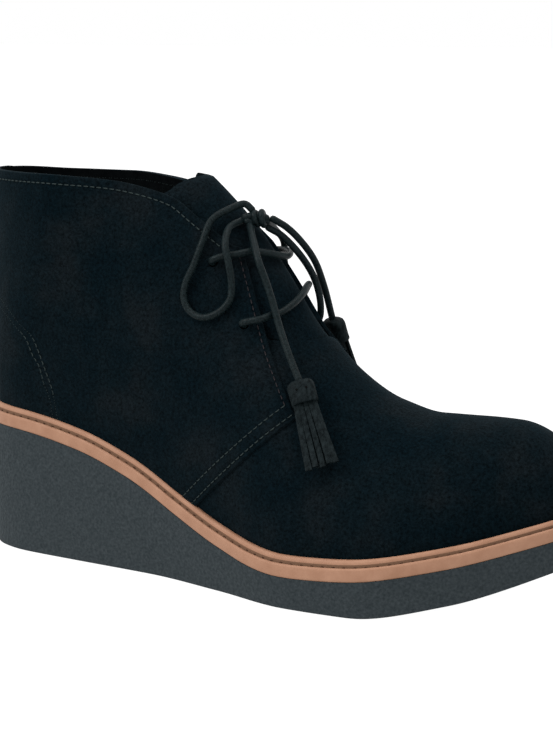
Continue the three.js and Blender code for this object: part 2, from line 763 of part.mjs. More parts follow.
// Drawn with its axis along y, its face toward z, then turned to hang.
function tasselBody({ hangsFrom, down, out }) {
  const half = tasselWidth / 2;
  const profile = [
    [0, 0],
    [half * capNeck, 0],
    [half * capShoulder, capRound * capNeck],
    [half, capRound],
    [half, tasselCapLength - edgeRound],
    [half * capMouth, tasselCapLength],
    [0, tasselCapLength],
  ];
  const cap = new THREE.LatheGeometry(profile.map(([x, y]) => new THREE.Vector2(x, y)), CAP_SIDES);
  cap.scale(1, 1, tasselThickness / tasselWidth);
  let body = solid(cap);
  for (const offset of frontStrips) {
    body = body.add(strip(offset, stripWidth, stripOverlap));
  }
  for (const offset of backStrips) {
    body = body.add(strip(offset, stripWidth, stripOverlap - stripThickness));
  }
  const axis = new THREE.Vector3(...down).normalize();
  const look = new THREE.Vector3(...out);
  const face = look.addScaledVector(axis, -axis.dot(look)).normalize();
  const turned = new THREE.Matrix4().makeBasis(new THREE.Vector3().crossVectors(axis, face), axis, face);
  turned.setPosition(asVectors(laceLengths[hangsFrom]).at(-1).addScaledVector(axis, fitGap));
  return shape(body).applyMatrix4(turned);
}

addPiece('sole', shape(solid(sole)), 0x33373a, 0.75);
addPiece('welt', shape(welt), 0xb98a68, 0.6);
addPiece('insole', shape(solid(insole)), 0x15161a, 0.8);
addPiece('upper', shape(upper), 0x0d0f11, 0.95);
addPiece('tongue', shape(tongue), 0x0d0f11, 0.95);

for (const [name, bar] of Object.entries(laceBars)) {
  addPiece(name, laceTube(barPoints(bar)), 0x17191b, 0.6);
}

const boot = new THREE.Box3().setFromObject(object);
addPiece('knot', knotBody(), 0x17191b, 0.6);
for (const [name, rows] of Object.entries(laceLengths)) {
  addPiece(name, laceTube(asVectors(rows)), 0x17191b, 0.6);
}
for (const [name, tassel] of Object.entries(tassels)) {
  addPiece(name, tasselBody(tassel), 0x17191b, 0.6);
}

// Origin below the middle of the boot
const middle = boot.getCenter(new THREE.Vector3());
object.position.set(-middle.x, -middle.y, 0);

export default object;
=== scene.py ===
import math

import bmesh
import bpy
import numpy as np
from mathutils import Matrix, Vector
from mathutils.bvhtree import BVHTree


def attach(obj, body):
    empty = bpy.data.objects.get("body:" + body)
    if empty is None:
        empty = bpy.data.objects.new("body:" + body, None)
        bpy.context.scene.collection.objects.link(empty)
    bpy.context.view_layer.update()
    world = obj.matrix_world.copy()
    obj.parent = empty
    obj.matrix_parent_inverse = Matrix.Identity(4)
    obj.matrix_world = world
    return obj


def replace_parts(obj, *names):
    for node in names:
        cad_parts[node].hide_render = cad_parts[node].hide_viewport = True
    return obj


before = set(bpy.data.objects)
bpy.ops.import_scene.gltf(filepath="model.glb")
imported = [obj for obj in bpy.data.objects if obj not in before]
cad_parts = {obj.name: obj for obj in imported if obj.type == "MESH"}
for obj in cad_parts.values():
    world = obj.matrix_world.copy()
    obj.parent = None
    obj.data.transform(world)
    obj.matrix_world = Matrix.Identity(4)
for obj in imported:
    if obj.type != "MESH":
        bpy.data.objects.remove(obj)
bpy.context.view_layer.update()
rng = np.random.default_rng(7)

# Lengths are millimetres from the heel's back edge, as in the part's source. ORIGIN is the point of them
# that becomes the row frame's origin.
ORIGIN = np.array([131.0, 0.593, 0.0])
MM = 0.001

# Camera
TARGET = np.array([130.0, 0.0, 80.0])
CAMERA_TURN = math.radians(32.362)
CAMERA_RISE = math.radians(9.563)
CAMERA_DISTANCE = 800.0
PIXELS_PER_MM = 2.572
IMAGE_WIDTH, IMAGE_HEIGHT = 553, 733
TARGET_PIXEL = (266.917, 369.443)
SENSOR = 36.0

# Boot sizes, as in the part's source
SOLE_LENGTH = 262.0
BALL_WIDTH = 92.0
WEDGE_HEIGHT = 52.0
FOREFOOT_HEIGHT = 12.0
TOE_SPRING = 20.0
HEEL_BEVEL = 2.2
TREAD_INSET = 2.0
WELT_HEIGHT = 5.2
LIP_HEIGHT = 3.2
SHELF_WIDTH = 1.4
GROOVE_DEPTH = 0.7
FEATHER_INSET = 5.4
WALL = 1.6
QUARTER_STEP = 1.2
COLLAR_HEIGHT = 154.5
MEDIAL_DIP = 2.2
COLLAR_LENGTH = 88.5
COLLAR_MIDDLE = 46.0
COLLAR_WIDTH = 59.0
COLLAR_BACK = 3.5
TOE_BOX_HEIGHT = 69.6
TOE_DROP = 25.0
TRIM_ALLOWANCE = 11.0
FACING_TOP_X = 124.0
FACING_TOP_Z = 128.6
FACING_GAP = 24.0
THROAT_FOOT_Z = 96.0
THROAT_BACK_X = 105.0
TONGUE_THICKNESS = 2.2
TONGUE_WIDTH = 36.0
TONGUE_TOP_Z = 154.3
TONGUE_FOOT_Z = 84.0
INSOLE_THICKNESS = 3.0
FIT_GAP = 0.3
LACE_DIAMETER = 2.8
LACE_TIP_DEPTH = 1.3
LACE_TIP_RISE = 2.1
SEEN_HOLE = 4.0
HOLE_REACH = 7.0
TASSEL_WIDTH = 10.4
TASSEL_THICKNESS = 7.0
TASSEL_CAP_LENGTH = 9.5
FRINGE_LENGTH = 26.0
FRINGE_SPREAD = 14.0
NOSE_TURN = 60.0
SWAY_TURN = 120.0
CROWN_SHARE = 0.8
SHAFT_PULL = 0.3

LATERAL, MEDIAL = -1.0, 1.0
# Each quarter's slanted front edge: its foot's x, then the x, y and z of the corner it runs to
QUARTER_CORNER = {LATERAL: (113.0, 160.0, 30.0, 67.0), MEDIAL: (100.0, 158.0, 13.5, 88.0)}

# turn, lateral edge, medial edge
OUTLINE = np.array([
    [0, 0.0, 0.0], [14, -0.16, 0.16], [27, -0.28, 0.28], [41, -0.335, 0.335], [57, -0.348, 0.326],
    [74, -0.36, 0.3], [90, -0.427, 0.326], [105, -0.505, 0.465], [119, -0.482, 0.518],
    [134, -0.354, 0.475], [149, -0.178, 0.39], [163, -0.045, 0.29], [180, 0.127, 0.127],
])
# share of the length, wedge climb, seat lift, tread lift, heel bevel
SIDE_VIEW = np.array([
    [-0.02, 1.0, 0, 0, 1.3], [0.0, 1.0, 0, 0, 1.0], [0.03, 0.995, 0, 0, 0.22], [0.07, 0.985, 0, 0, 0],
    [0.115, 0.97, 0, 0, 0], [0.229, 0.853, 0, 0, 0], [0.324, 0.655, 0, 0, 0], [0.42, 0.363, 0, 0, 0],
    [0.515, 0.13, 0, 0, 0], [0.57, 0.045, 0, 0, 0], [0.62, 0.007, 0.01, 0, 0], [0.66, 0, 0.03, 0, 0],
    [0.725, 0, 0.085, 0, 0], [0.859, 0, 0.41, 0.315, 0], [1.0, 0, 0.965, 1.01, 0], [1.02, 0, 1.04, 1.11, 0],
])
# turn, along, climb, drop, pull
RIDGE = np.array([
    [60, 0, 1.0, 0, 0.3], [74, 0.171, 0.759, 0, 0.26], [84, 0.284, 0.54, 0, 0.25],
    [94, 0.364, 0.352, 0, 0.24], [104, 0.462, 0.158, 0, 0.25], [114, 0.569, 0.044, 0, 0.25],
    [124, 0.679, 0.001, 0, 0.26], [134, 0.774, 0, 0, 0.26], [144, 0.853, 0, 0.02, 0.24],
    [154, 0.917, 0, 0.15, 0.2], [164, 0.963, 0, 0.39, 0.14], [172, 0.988, 0, 0.67, 0.08],
    [180, 1.0, 0, 1.0, 0.05],
])
# turn, lateral flare, medial flare, rise
WALL_LEAN = np.array([
    [0, 0.14, 0.14, 0.36], [30, 0.12, 0.12, 0.36], [50, 0.13, 0.17, 0.37], [60, 0.14, 0.2, 0.38],
    [74, 0.18, 0.26, 0.4], [90, 0.2, 0.26, 0.44], [110, 0.2, 0.16, 0.48], [140, 0.16, 0.1, 0.52],
    [165, 0.1, 0.1, 0.5], [180, 0.1, 0.1, 0.4],
])
# along, fall, dip
TOPLINE = np.array([
    [0, 0, 0], [0.15, 0, 0.8], [0.35, 0, 1], [0.5, 0.03, 1], [0.6, 0.08, 0.8], [0.69, 0.17, 0.5],
    [0.79, 0.32, 0.2], [0.87, 0.57, 0], [0.93, 0.77, 0], [1.0, 1.0, 0],
])

# share of the tongue's half width, share of the fall from its top to the facings' top
TONGUE_TOP = np.array([
    [-1, 0.42], [-0.9, 0.36], [-0.69, 0.23], [-0.53, 0.12], [-0.28, 0.035], [0, 0.01], [0.5, 0], [1, 0.4],
])

LACE_HOLES = {
    "upper_lateral": (118.3, -19.8, 123.2),
    "lower_lateral": (134.8, -23.7, 101.1),
    "upper_medial": (117.0, 19.3, 123.0),
    "lower_medial": (123.0, 23.4, 100.0),
}
LACE_BARS = {
    "lace_bar_lower": ("lower_lateral", "lower_medial", [
        (139.2, -24.7, 102.9), (142.1, -23.4, 103.5), (143.9, -19.4, 104.6), (145.7, -16.0, 105.2),
        (147.2, -10.5, 107.4), (147.4, -3.0, 110.6), (144.5, 6.0, 113.0), (138.8, 16.2, 111.8),
        (129.8, 23.4, 104.0),
    ]),
    "lace_bar_upper": ("upper_lateral", "upper_medial", [
        (122.9, -20.5, 125.7), (127.8, -17.5, 126.6), (131.3, -13.0, 127.3), (134.3, -7.4, 126.4),
        (136.2, -1.5, 125.1), (136.0, 5.0, 124.2), (132.9, 12.2, 124.8), (126.0, 18.4, 124.8),
    ]),
}
LACE_LENGTHS = {
    "lace_loop_lateral": [
        (125.4, -3.5, 142.3), (122.9, -4.5, 144.4), (119.6, -8.5, 143.0), (115.2, -15.9, 138.8),
        (114.3, -21.5, 130.2), (112.5, -24.4, 122.1), (110.3, -26.7, 115.3), (110.3, -28.0, 109.9),
        (113.2, -28.6, 105.2), (119.0, -28.4, 103.0), (125.0, -26.8, 105.0), (128.8, -24.4, 109.8),
        (128.7, -22.9, 115.8), (127.4, -22.9, 123.6), (124.7, -21.2, 130.4), (122.3, -14.6, 136.0),
        (122.3, -6.3, 137.9),
    ],
    "lace_loop_medial": [
        (130.4, 0.5, 135.3), (133.6, 5.0, 132.0), (138.8, 10.6, 124.0), (141.2, 17.4, 114.0),
        (143.2, 18.2, 105.5), (141.6, 20.5, 99.0), (136.4, 24.0, 95.2), (129.9, 28.5, 99.3),
        (126.6, 27.6, 108.1), (123.6, 23.5, 118.5), (124.0, 22.0, 127.5), (125.8, 12.0, 133.8),
        (128.3, 2.6, 138.0),
    ],
    "lace_end_lateral": [
        (126.5, -6.5, 136.3), (132.4, -13.2, 131.0), (137.4, -17.6, 124.4), (140.9, -18.3, 117.6),
        (144.4, -19.2, 110.4), (148.5, -20.9, 101.5), (154.1, -23.7, 92.4), (160.9, -26.6, 82.4),
    ],
    "lace_end_medial": [
        (132.6, 0.4, 138.7), (135.4, 6.2, 135.0), (138.9, 10.9, 129.4), (141.4, 16.6, 121.8),
        (142.0, 22.9, 111.2), (142.6, 28.4, 97.8),
    ],
}
KNOT_MIDDLE = np.array([127.2, -3.0, 138.9])
KNOT_ALONG = np.array([0.845, 0.535, 0.0])
TASSELS = {
    "tassel_lateral": ("lace_end_lateral", (0.488, -0.322, -0.811), (0.374, -0.766, 0.522)),
    "tassel_medial": ("lace_end_medial", (0.155, 0.298, -0.942), (0.292, 0.897, 0.331)),
}


def in_row_frame(points):
    return (np.asarray(points, float) - ORIGIN) * MM


def unit(vectors):
    vectors = np.asarray(vectors, float)
    return vectors / np.maximum(np.linalg.norm(vectors, axis=-1, keepdims=True), 1e-9)


# Camera at the photograph's angle
def add_camera():
    toward = np.array([
        math.sin(CAMERA_TURN) * math.cos(CAMERA_RISE),
        -math.cos(CAMERA_TURN) * math.cos(CAMERA_RISE),
        math.sin(CAMERA_RISE),
    ])
    data = bpy.data.cameras.new("camera")
    camera = bpy.data.objects.new("camera", data)
    bpy.context.scene.collection.objects.link(camera)
    camera.location = in_row_frame(TARGET + CAMERA_DISTANCE * toward)
    camera.rotation_euler = (math.radians(90) - CAMERA_RISE, 0.0, CAMERA_TURN)
    focal_pixels = PIXELS_PER_MM * CAMERA_DISTANCE
    data.sensor_width = SENSOR
    data.lens = focal_pixels * SENSOR / IMAGE_HEIGHT
    data.shift_x = (IMAGE_WIDTH / 2 - TARGET_PIXEL[0]) / IMAGE_HEIGHT
    data.shift_y = (TARGET_PIXEL[1] - IMAGE_HEIGHT / 2) / IMAGE_HEIGHT
    data.clip_start = 0.01
    data.clip_end = 100.0
    bpy.context.scene.camera = camera


add_camera()


# Materials
def new_material(name, roughness, specular, sheen=0.0, sheen_color=(1, 1, 1)):
    material = bpy.data.materials.new(name)
    material.use_nodes = True
    shader = material.node_tree.nodes["Principled BSDF"]
    shader.inputs["Roughness"].default_value = roughness
    shader.inputs["Specular IOR Level"].default_value = specular
    shader.inputs["Sheen Weight"].default_value = sheen
    shader.inputs["Sheen Roughness"].default_value = 0.45
    shader.inputs["Sheen Tint"].default_value = (*sheen_color, 1.0)
    return material


def add_node(material, kind, **settings):
    node = material.node_tree.nodes.new(kind)
    for name, value in settings.items():
        if name in node.inputs:
            node.inputs[name].default_value = value
        else:
            setattr(node, name, value)
    return node


def link(material, source, target):
    material.node_tree.links.new(source, target)


def texture_of(material, kind, size, output, stretch=(1, 1, 1), **settings):
    """Texture in the object's own space, whose grain is about the given size in millimetres."""
    place = add_node(material, "ShaderNodeTexCoord")
    scaled = add_node(material, "ShaderNodeMapping")
    scaled.inputs["Scale"].default_value = [s / (size * MM) for s in stretch]
    texture = add_node(material, kind, Scale=1.0, **settings)
    link(material, place.outputs["Object"], scaled.inputs["Vector"])
    link(material, scaled.outputs["Vector"], texture.inputs["Vector"])
    return texture.outputs[output]


def noise_of(material, size, detail=3.0, rough=0.5, stretch=(1, 1, 1)):
    return texture_of(material, "ShaderNodeTexNoise", size, "Fac", stretch, Detail=detail, Roughness=rough)


def cells_of(material, size):
    return texture_of(material, "ShaderNodeTexVoronoi", size, "Distance")


def ramp_of(material, factor, stops):
    ramp = add_node(material, "ShaderNodeValToRGB")
    elements = ramp.color_ramp.elements
    while len(elements) < len(stops):
        elements.new(0.5)
    for element, (at, color) in zip(elements, stops):
        element.position = at
        element.color = (*color, 1.0)
    link(material, factor, ramp.inputs["Fac"])
    return ramp.outputs["Color"]


def mix_of(material, mode, share, first, second):
    mix = add_node(material, "ShaderNodeMix", data_type="RGBA", blend_type=mode)
    mix.inputs[0].default_value = share
    link(material, first, mix.inputs[6])
    link(material, second, mix.inputs[7])
    return mix.outputs[2]


def set_color(material, output):
    link(material, output, material.node_tree.nodes["Principled BSDF"].inputs["Base Color"])


def set_bump(material, reliefs):
    """Bump of several heights, each with its depth in millimetres."""
    normal = None
    for height, depth in reliefs:
        bump = add_node(material, "ShaderNodeBump", Strength=1.0, Distance=depth * MM)
        link(material, height, bump.inputs["Height"])
        if normal is not None:
            link(material, normal, bump.inputs["Normal"])
        normal = bump.outputs["Normal"]
    link(material, normal, material.node_tree.nodes["Principled BSDF"].inputs["Normal"])


def suede_material():
    material = new_material("suede", 1.0, specular=0.02, sheen=0.035, sheen_color=(0.36, 0.56, 0.66))
    patches = ramp_of(material, noise_of(material, 26, detail=4, rough=0.6), [
        (0.36, (0.0010, 0.0034, 0.0050)),
        (0.50, (0.0018, 0.0042, 0.0057)),
        (0.64, (0.0034, 0.0054, 0.0067)),
    ])
    nap = ramp_of(material, noise_of(material, 1.1, detail=5, rough=0.75), [
        (0.34, (0.35, 0.35, 0.35)), (0.66, (1.80, 1.80, 1.80)),
    ])
    set_color(material, mix_of(material, "MULTIPLY", 1.0, patches, nap))
    set_bump(material, [(noise_of(material, 9, detail=2), 0.35), (noise_of(material, 0.7, detail=3), 0.12)])
    return material


def grained_material(name, roughness, specular, tone, dark, light, reliefs):
    """Material that runs from dark to light with a noise. Each relief is a noise and its depth."""
    size, start, end, *rest = tone
    material = new_material(name, roughness, specular)
    set_color(material, ramp_of(material, noise_of(material, size, *rest), [(start, dark), (end, light)]))
    set_bump(material, [(noise_of(material, *noise), depth) for *noise, depth in reliefs])
    return material


def plain_material(name, color, roughness, specular, grain=0.6):
    darker = tuple(c * 0.85 for c in color)
    reliefs = [(grain, 2, 0.03)]
    return grained_material(name, roughness, specular, (grain, 0.35, 0.65, 2), darker, color, reliefs)


def rubber_material():
    material = new_material("rubber", 0.8, specular=0.15)
    tone = noise_of(material, 1.1, detail=3, rough=0.6)
    stops = [(0.32, (0.014, 0.020, 0.023)), (0.68, (0.030, 0.038, 0.042))]
    set_color(material, ramp_of(material, tone, stops))
    set_bump(material, [(cells_of(material, 1.5), 0.26), (noise_of(material, 0.8, detail=2), 0.16)])
    return material


# A tone is a noise's size in millimetres, the ramp's start and end, then the noise's detail and roughness.
SUEDE = suede_material()
RUBBER = rubber_material()
LINING = grained_material(
    "lining", 0.9, 0.02, (3, 0.3, 0.7, 3),
    (0.0010, 0.0016, 0.0020), (0.0024, 0.0032, 0.0036), [(0.9, 2, 0.06)],
)
WELT = grained_material(
    "welt_leather", 0.62, 0.3, (7, 0.3, 0.7, 4, 0.6), (0.262, 0.130, 0.076), (0.318, 0.168, 0.104),
    [(0.8, 3, 0.05)],
)
LACE = grained_material(
    "lace", 0.4, 0.07, (0.7, 0.35, 0.65, 4, 0.7), (0.0006, 0.0026, 0.0032), (0.0085, 0.0150, 0.0165),
    [(0.45, 3, 0.10)],
)
# Tassel leather: its tone noise is stretched along the strips, so its lighter streaks are partly the
# leather's uneven tone and partly painted highlights
TASSEL = grained_material(
    "tassel_leather", 0.6, 0.05, (1.3, 0.36, 0.66, 5, 0.7, (1, 1, 0.35)), (0.0004, 0.0020, 0.0026),
    (0.0090, 0.0140, 0.0155), [(0.9, 2, 0.12)],
)
# Near-black for the tassel cap's pinholes: painted shade standing in for the holes' depth
PINHOLE_PAINTED_SHADE = plain_material("hole", (0.002, 0.002, 0.002), 0.9, 0.05)
THREAD = plain_material("thread", (0.023, 0.033, 0.033), 0.8, 0.1)
THREAD_RUST = plain_material("thread_rust", (0.021, 0.018, 0.020), 0.8, 0.1)
# Darker brown for the welt's stitch groove and the foot of its lip: painted shade in that recess
WELT_GROOVE_PAINTED_SHADE = plain_material("welt_groove_painted_shade", (0.150, 0.082, 0.050), 0.8, 0.1)
WELT_THREAD = plain_material("welt_thread", (0.085, 0.042, 0.026), 0.8, 0.1)
BOARD = plain_material("insole_leather", (0.010, 0.011, 0.013), 0.6, 0.3, grain=2.0)


# Meshes
class Shape:
    """Corners and faces gathered in millimetres, each face with a material's number."""

    def __init__(self):
        self.points, self.faces, self.kinds = [], [], []
        self.count = 0

    def add(self, points, faces, kind=0):
        points = np.asarray(points, float).reshape(-1, 3)
        self.points.append(points)
        self.faces += [tuple(i + self.count for i in face) for face in faces]
        self.kinds += [kind] * len(faces) if np.isscalar(kind) else list(kind)
        self.count += len(points)
        return self

    def piece(self, name, slot, materials, sharp=42, merge=1e-3):
        mesh = bpy.data.meshes.new(name)
        points = in_row_frame(np.concatenate(self.points))
        mesh.from_pydata(points.tolist(), [], self.faces)
        for material in materials:
            mesh.materials.append(material)
        mesh.polygons.foreach_set("material_index", self.kinds)
        cleaned = bmesh.new()
        cleaned.from_mesh(mesh)
        bmesh.ops.remove_doubles(cleaned, verts=cleaned.verts, dist=merge * MM)
        bmesh.ops.dissolve_degenerate(cleaned, edges=cleaned.edges, dist=merge * MM)
        bmesh.ops.recalc_face_normals(cleaned, faces=cleaned.faces)
        cleaned.to_mesh(mesh)
        cleaned.free()
        mesh.polygons.foreach_set("use_smooth", [True] * len(mesh.polygons))
        mesh.set_sharp_from_angle(angle=math.radians(sharp))
        piece = bpy.data.objects.new(name, mesh)
        bpy.context.scene.collection.objects.link(piece)
        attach(piece, "root")
        return piece


def loop_faces(rows, columns, closed_rows, closed_columns=True):
    """Quads of a grid of points: each row is one loop or line, and rows may close on themselves."""
    faces = []
    for i in range(rows if closed_rows else rows - 1):
        for j in range(columns if closed_columns else columns - 1):
            a = i * columns + j
            b = i * columns + (j + 1) % columns
            c = ((i + 1) % rows) * columns + (j + 1) % columns
            d = ((i + 1) % rows) * columns + j
            faces.append((a, b, c, d))
    return faces


def ends_of(rows, around):
    """The two end faces of a stack of closed rows."""
    return [tuple(range(around))[::-1], tuple((rows - 1) * around + k for k in range(around))]


def smooth_line(points, spacing):
    """Centripetal curve through points, in even steps of about the given length."""
    points = np.asarray(points, float)
    padded = np.vstack([2 * points[0] - points[1], points, 2 * points[-1] - points[-2]])
    out = []
    for i in range(len(points) - 1):
        p = padded[i:i + 4]
        knots = np.concatenate([[0], np.cumsum(np.sqrt(np.linalg.norm(np.diff(p, axis=0), axis=1)))])
        t = np.linspace(knots[1], knots[2], 24, endpoint=False)[:, None]

        def between(a, b, ka, kb):
            return (kb - t) / (kb - ka) * a + (t - ka) / (kb - ka) * b

        a1 = between(p[0], p[1], knots[0], knots[1])
        a2 = between(p[1], p[2], knots[1], knots[2])
        a3 = between(p[2], p[3], knots[2], knots[3])
        b1 = between(a1, a2, knots[0], knots[2])
        b2 = between(a2, a3, knots[1], knots[3])
        out.append(between(b1, b2, knots[1], knots[2]))
    line = np.vstack([*out, points[-1:]])
    return even_steps(line, spacing)


def even_steps(line, spacing):
    lengths = np.concatenate([[0], np.cumsum(np.linalg.norm(np.diff(line, axis=0), axis=1))])
    count = max(2, int(round(lengths[-1] / spacing)) + 1)
    at = np.linspace(0, lengths[-1], count)
    return np.stack([np.interp(at, lengths, line[:, k]) for k in range(3)], axis=1)


def line_length(line):
    return float(np.linalg.norm(np.diff(line, axis=0), axis=1).sum())


def carried_frames(line):
    """Two cross directions at each point, turned as little as possible along the line."""
    tangents = unit(np.gradient(line, axis=0))
    side = np.cross(tangents[0], [0.0, 0.0, 1.0])
    if np.linalg.norm(side) < 0.1:
        side = np.cross(tangents[0], [0.0, 1.0, 0.0])
    sides = []
    for tangent in tangents:
        side = unit(side - tangent * np.dot(side, tangent))
        sides.append(side)
    sides = np.array(sides)
    return sides, np.cross(tangents, sides)


def add_tube(shape, line, radius, around=14, round_ends=True, wave=None):
    """Round tube along a line, with rounded ends. wave(angles) changes its radius."""
    if round_ends:
        turn = np.radians([90, 60, 30])
        start, end = line[0], line[-1]
        first, final = unit(line[0] - line[1]), unit(line[-1] - line[-2])
        head = [start + first * radius * math.sin(a) for a in turn]
        tail = [end + final * radius * math.sin(a) for a in turn[::-1]]
        line = np.vstack([head, line, tail])
        scale = np.concatenate([np.cos(turn), np.ones(len(line) - 6), np.cos(turn[::-1])])
    else:
        scale = np.ones(len(line))
    sides, ups = carried_frames(line)
    angles = np.linspace(0, 2 * math.pi, around, endpoint=False)
    shares = np.ones(around) if wave is None else wave(angles)
    rings = []
    for point, side, up, size in zip(line, sides, ups, radius * scale):
        reach = size * shares
        rings.append(point + np.outer(reach * np.cos(angles), side) + np.outer(reach * np.sin(angles), up))
    faces = loop_faces(len(line), around, False) + ends_of(len(line), around)
    return shape.add(np.concatenate(rings), faces)


# Lace
def lace_wave(angles):
    """The lace is a rolled strip: nearly round, with one soft edge along it."""
    return 1.0 - 0.035 * np.exp(-((np.mod(angles - 2.0, 2 * math.pi) - math.pi) / 0.35) ** 2)


def hole_axis(name):
    side = LATERAL if LACE_HOLES[name][1] < 0 else MEDIAL
    return unit([0.3, 0.87 * side, 0.38])


def hole_point(name, rise):
    return np.array(LACE_HOLES[name]) + rise * hole_axis(name)


def bar_line(start, end, over):
    points = [hole_point(start, -LACE_TIP_DEPTH), hole_point(start, LACE_TIP_RISE), *over,
              hole_point(end, LACE_TIP_RISE), hole_point(end, -LACE_TIP_DEPTH)]
    return smooth_line(points, 0.8)


# The cap's sections: share of its half width, and depth below its top
CAP_PROFILE = [
    (0.0, 0.0), (0.42, 0.05), (0.72, 0.25), (0.9, 0.9), (0.985, 1.9), (1.0, 3.2), (0.985, 5.0), (0.975, 7.0),
    (0.985, 8.6), (0.96, 9.2), (0.90, TASSEL_CAP_LENGTH), (0.62, 9.3), (0.3, 9.0), (0, 9.0),
]
# A strip's section: share of its half width, height, and share of its cupping
STRIP_SECTION = [
    (-1, 0.30, 0), (-0.9, 0.55, 0), (0, 0.55, 1), (0.9, 0.55, 0), (1, 0.30, 0),
    (1, -0.30, 0), (0.9, -0.55, 0), (0, -0.55, 1), (-0.9, -0.55, 0), (-1, -0.30, 0),
]
# Place across the fringe, layer and how much shorter it is
STRIPS = [(offset, 0.75, 0.0) for offset in (-0.84, -0.42, 0.0, 0.42, 0.84)]
STRIPS += [(offset, -0.75, 0.6) for offset in (-0.63, -0.21, 0.21, 0.63)]
STRIP_ROWS = 15
STRIP_TUCK = 3.0
CAP_SIDES = 48
CAP_SQUARENESS = 0.86
# The two small holes in the cap's face: radius, place across it, depth below its top. Each is a shallow cone
# coloured near-black, painted shade for a deeper hole.
PINHOLE = 0.42
PINHOLE_SPREAD = 1.9
PINHOLE_DEPTH = 4.3
PINHOLE_SIDES = 12


def cap_rings(half, flat):
    angles = np.linspace(0, 2 * math.pi, CAP_SIDES, endpoint=False)
    seam = 1 + 0.045 * np.clip((np.mod(angles + 0.9, 2 * math.pi) - math.pi) / math.pi, 0, 1)
    for size, depth in CAP_PROFILE:
        width = np.sign(np.cos(angles)) * np.abs(np.cos(angles)) ** CAP_SQUARENESS * half * size * seam
        thick = np.sign(np.sin(angles)) * np.abs(np.sin(angles)) ** CAP_SQUARENESS * half * flat * size * seam
        yield np.stack([width, np.full(CAP_SIDES, depth), thick], axis=1)


def strip_rows(offset, layer, lag):
    length = FRINGE_LENGTH - 0.6 - lag + rng.uniform(-0.7, 0.5)
    bend, sway = rng.uniform(-0.5, 0.5), rng.uniform(-0.35, 0.35)
    half_width = 1.18 + rng.uniform(-0.1, 0.1)
    for share in np.linspace(0, 1, STRIP_ROWS):
        depth = TASSEL_CAP_LENGTH - STRIP_TUCK + (length + STRIP_TUCK) * share
        middle = offset * ((TASSEL_WIDTH - 2.4) / 2 * (1 - share) + (FRINGE_SPREAD - 1.6) / 2 * share)
        middle += sway * math.sin(2.4 * share)
        lift = layer + bend * share ** 2 + 0.25 * math.sin(5 * share + 4 * offset) * share
        width = half_width * (0.72 + 0.28 * share ** 0.7)
        cup = 0.22 * math.copysign(1, layer) * share
        yield [(middle + width * a, depth, lift + b + cup * c) for a, b, c in STRIP_SECTION]


def add_tassel(name, hangs_from, down, out):
    axis = unit(down)
    face = unit(np.array(out) - axis * np.dot(axis, out))
    across = np.cross(axis, face)
    root = np.array(LACE_LENGTHS[hangs_from][-1]) + FIT_GAP * axis

    def placed(local):
        local = np.asarray(local, float)
        return root + local[..., :1] * across + local[..., 1:2] * axis + local[..., 2:3] * face

    shape = Shape()
    half = TASSEL_WIDTH / 2
    flat = TASSEL_THICKNESS / TASSEL_WIDTH
    rings = [placed(ring) for ring in cap_rings(half, flat)]
    shape.add(np.concatenate(rings), loop_faces(len(rings), CAP_SIDES, False), 0)
    around = len(STRIP_SECTION)
    for strip in STRIPS:
        rows = [placed(row) for row in strip_rows(*strip)]
        faces = loop_faces(STRIP_ROWS, around, False) + ends_of(STRIP_ROWS, around)
        shape.add(np.concatenate(rows), faces)
    turns = np.linspace(0, 2 * math.pi, PINHOLE_SIDES, endpoint=False)
    corners = range(PINHOLE_SIDES)
    faces = [(k, (k + 1) % PINHOLE_SIDES, PINHOLE_SIDES) for k in corners] + [tuple(corners)[::-1]]
    for sideways in (-PINHOLE_SPREAD, PINHOLE_SPREAD):
        rim = placed([(sideways + PINHOLE * math.cos(a), PINHOLE_DEPTH + PINHOLE * math.sin(a),
                       half * flat + 0.06) for a in turns])
        low = placed([(sideways, PINHOLE_DEPTH, half * flat - 0.8)])
        # The pinholes take the near-black second material, painted shade
        shape.add(np.vstack([rim, low]), faces, 1)
    return shape.piece(name + "_leather", "tassel", [TASSEL, PINHOLE_PAINTED_SHADE], sharp=38)


# The knot's parts, along the knot, away from the boot and up: two strands and their thickness, then the
# wraps' place, lean and size
KNOT_STRANDS = [
    ([(-4.6, 0.3, 0.2), (-2.2, -0.2, 1.0), (0.6, -0.3, 1.0), (3.6, 0.0, 0.2)], 1.05),
    ([(-3.6, -0.8, -1.0), (-1.0, -0.6, -1.4), (2.0, -0.2, -1.2), (4.2, 0.4, -0.8)], 0.95),
]
KNOT_WRAPS = [(2.4, 0.5, 1.0), (0.0, 0.9, 0.92)]
WRAP_REACH, WRAP_RISE = 2.15, 2.5


def add_knot():
    """The bow's knot: a wrapped lump with the lace's turns round it."""
    shape = Shape()
    along = unit(KNOT_ALONG)
    up = np.array([0.0, 0.0, 1.0])
    away = np.cross(up, along)
    radius = LACE_DIAMETER / 2

    def local(a, b, c):
        return KNOT_MIDDLE + a * along + b * away + c * up

    for points, thickness in KNOT_STRANDS:
        add_tube(shape, smooth_line([local(*point) for point in points], 0.6), radius * thickness)
    for start, lean, size in KNOT_WRAPS:
        ring = []
        for angle in np.linspace(0, 2 * math.pi, 41):
            across, rise = WRAP_REACH * size * math.cos(angle), WRAP_RISE * size * math.sin(angle)
            ring.append(local(start + lean * math.cos(angle) * 0.8 - 0.35 * rise * lean, across, rise))
        add_tube(shape, np.array(ring), radius * 0.9 * size, round_ends=False)
    return shape.piece("knot_wraps", "lace", [LACE])


def lace_piece(name, line):
    shape = add_tube(Shape(), line, LACE_DIAMETER / 2, wave=lace_wave)
    piece = shape.piece(name + "_round", "lace", [LACE])
    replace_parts(piece, name)
    return piece


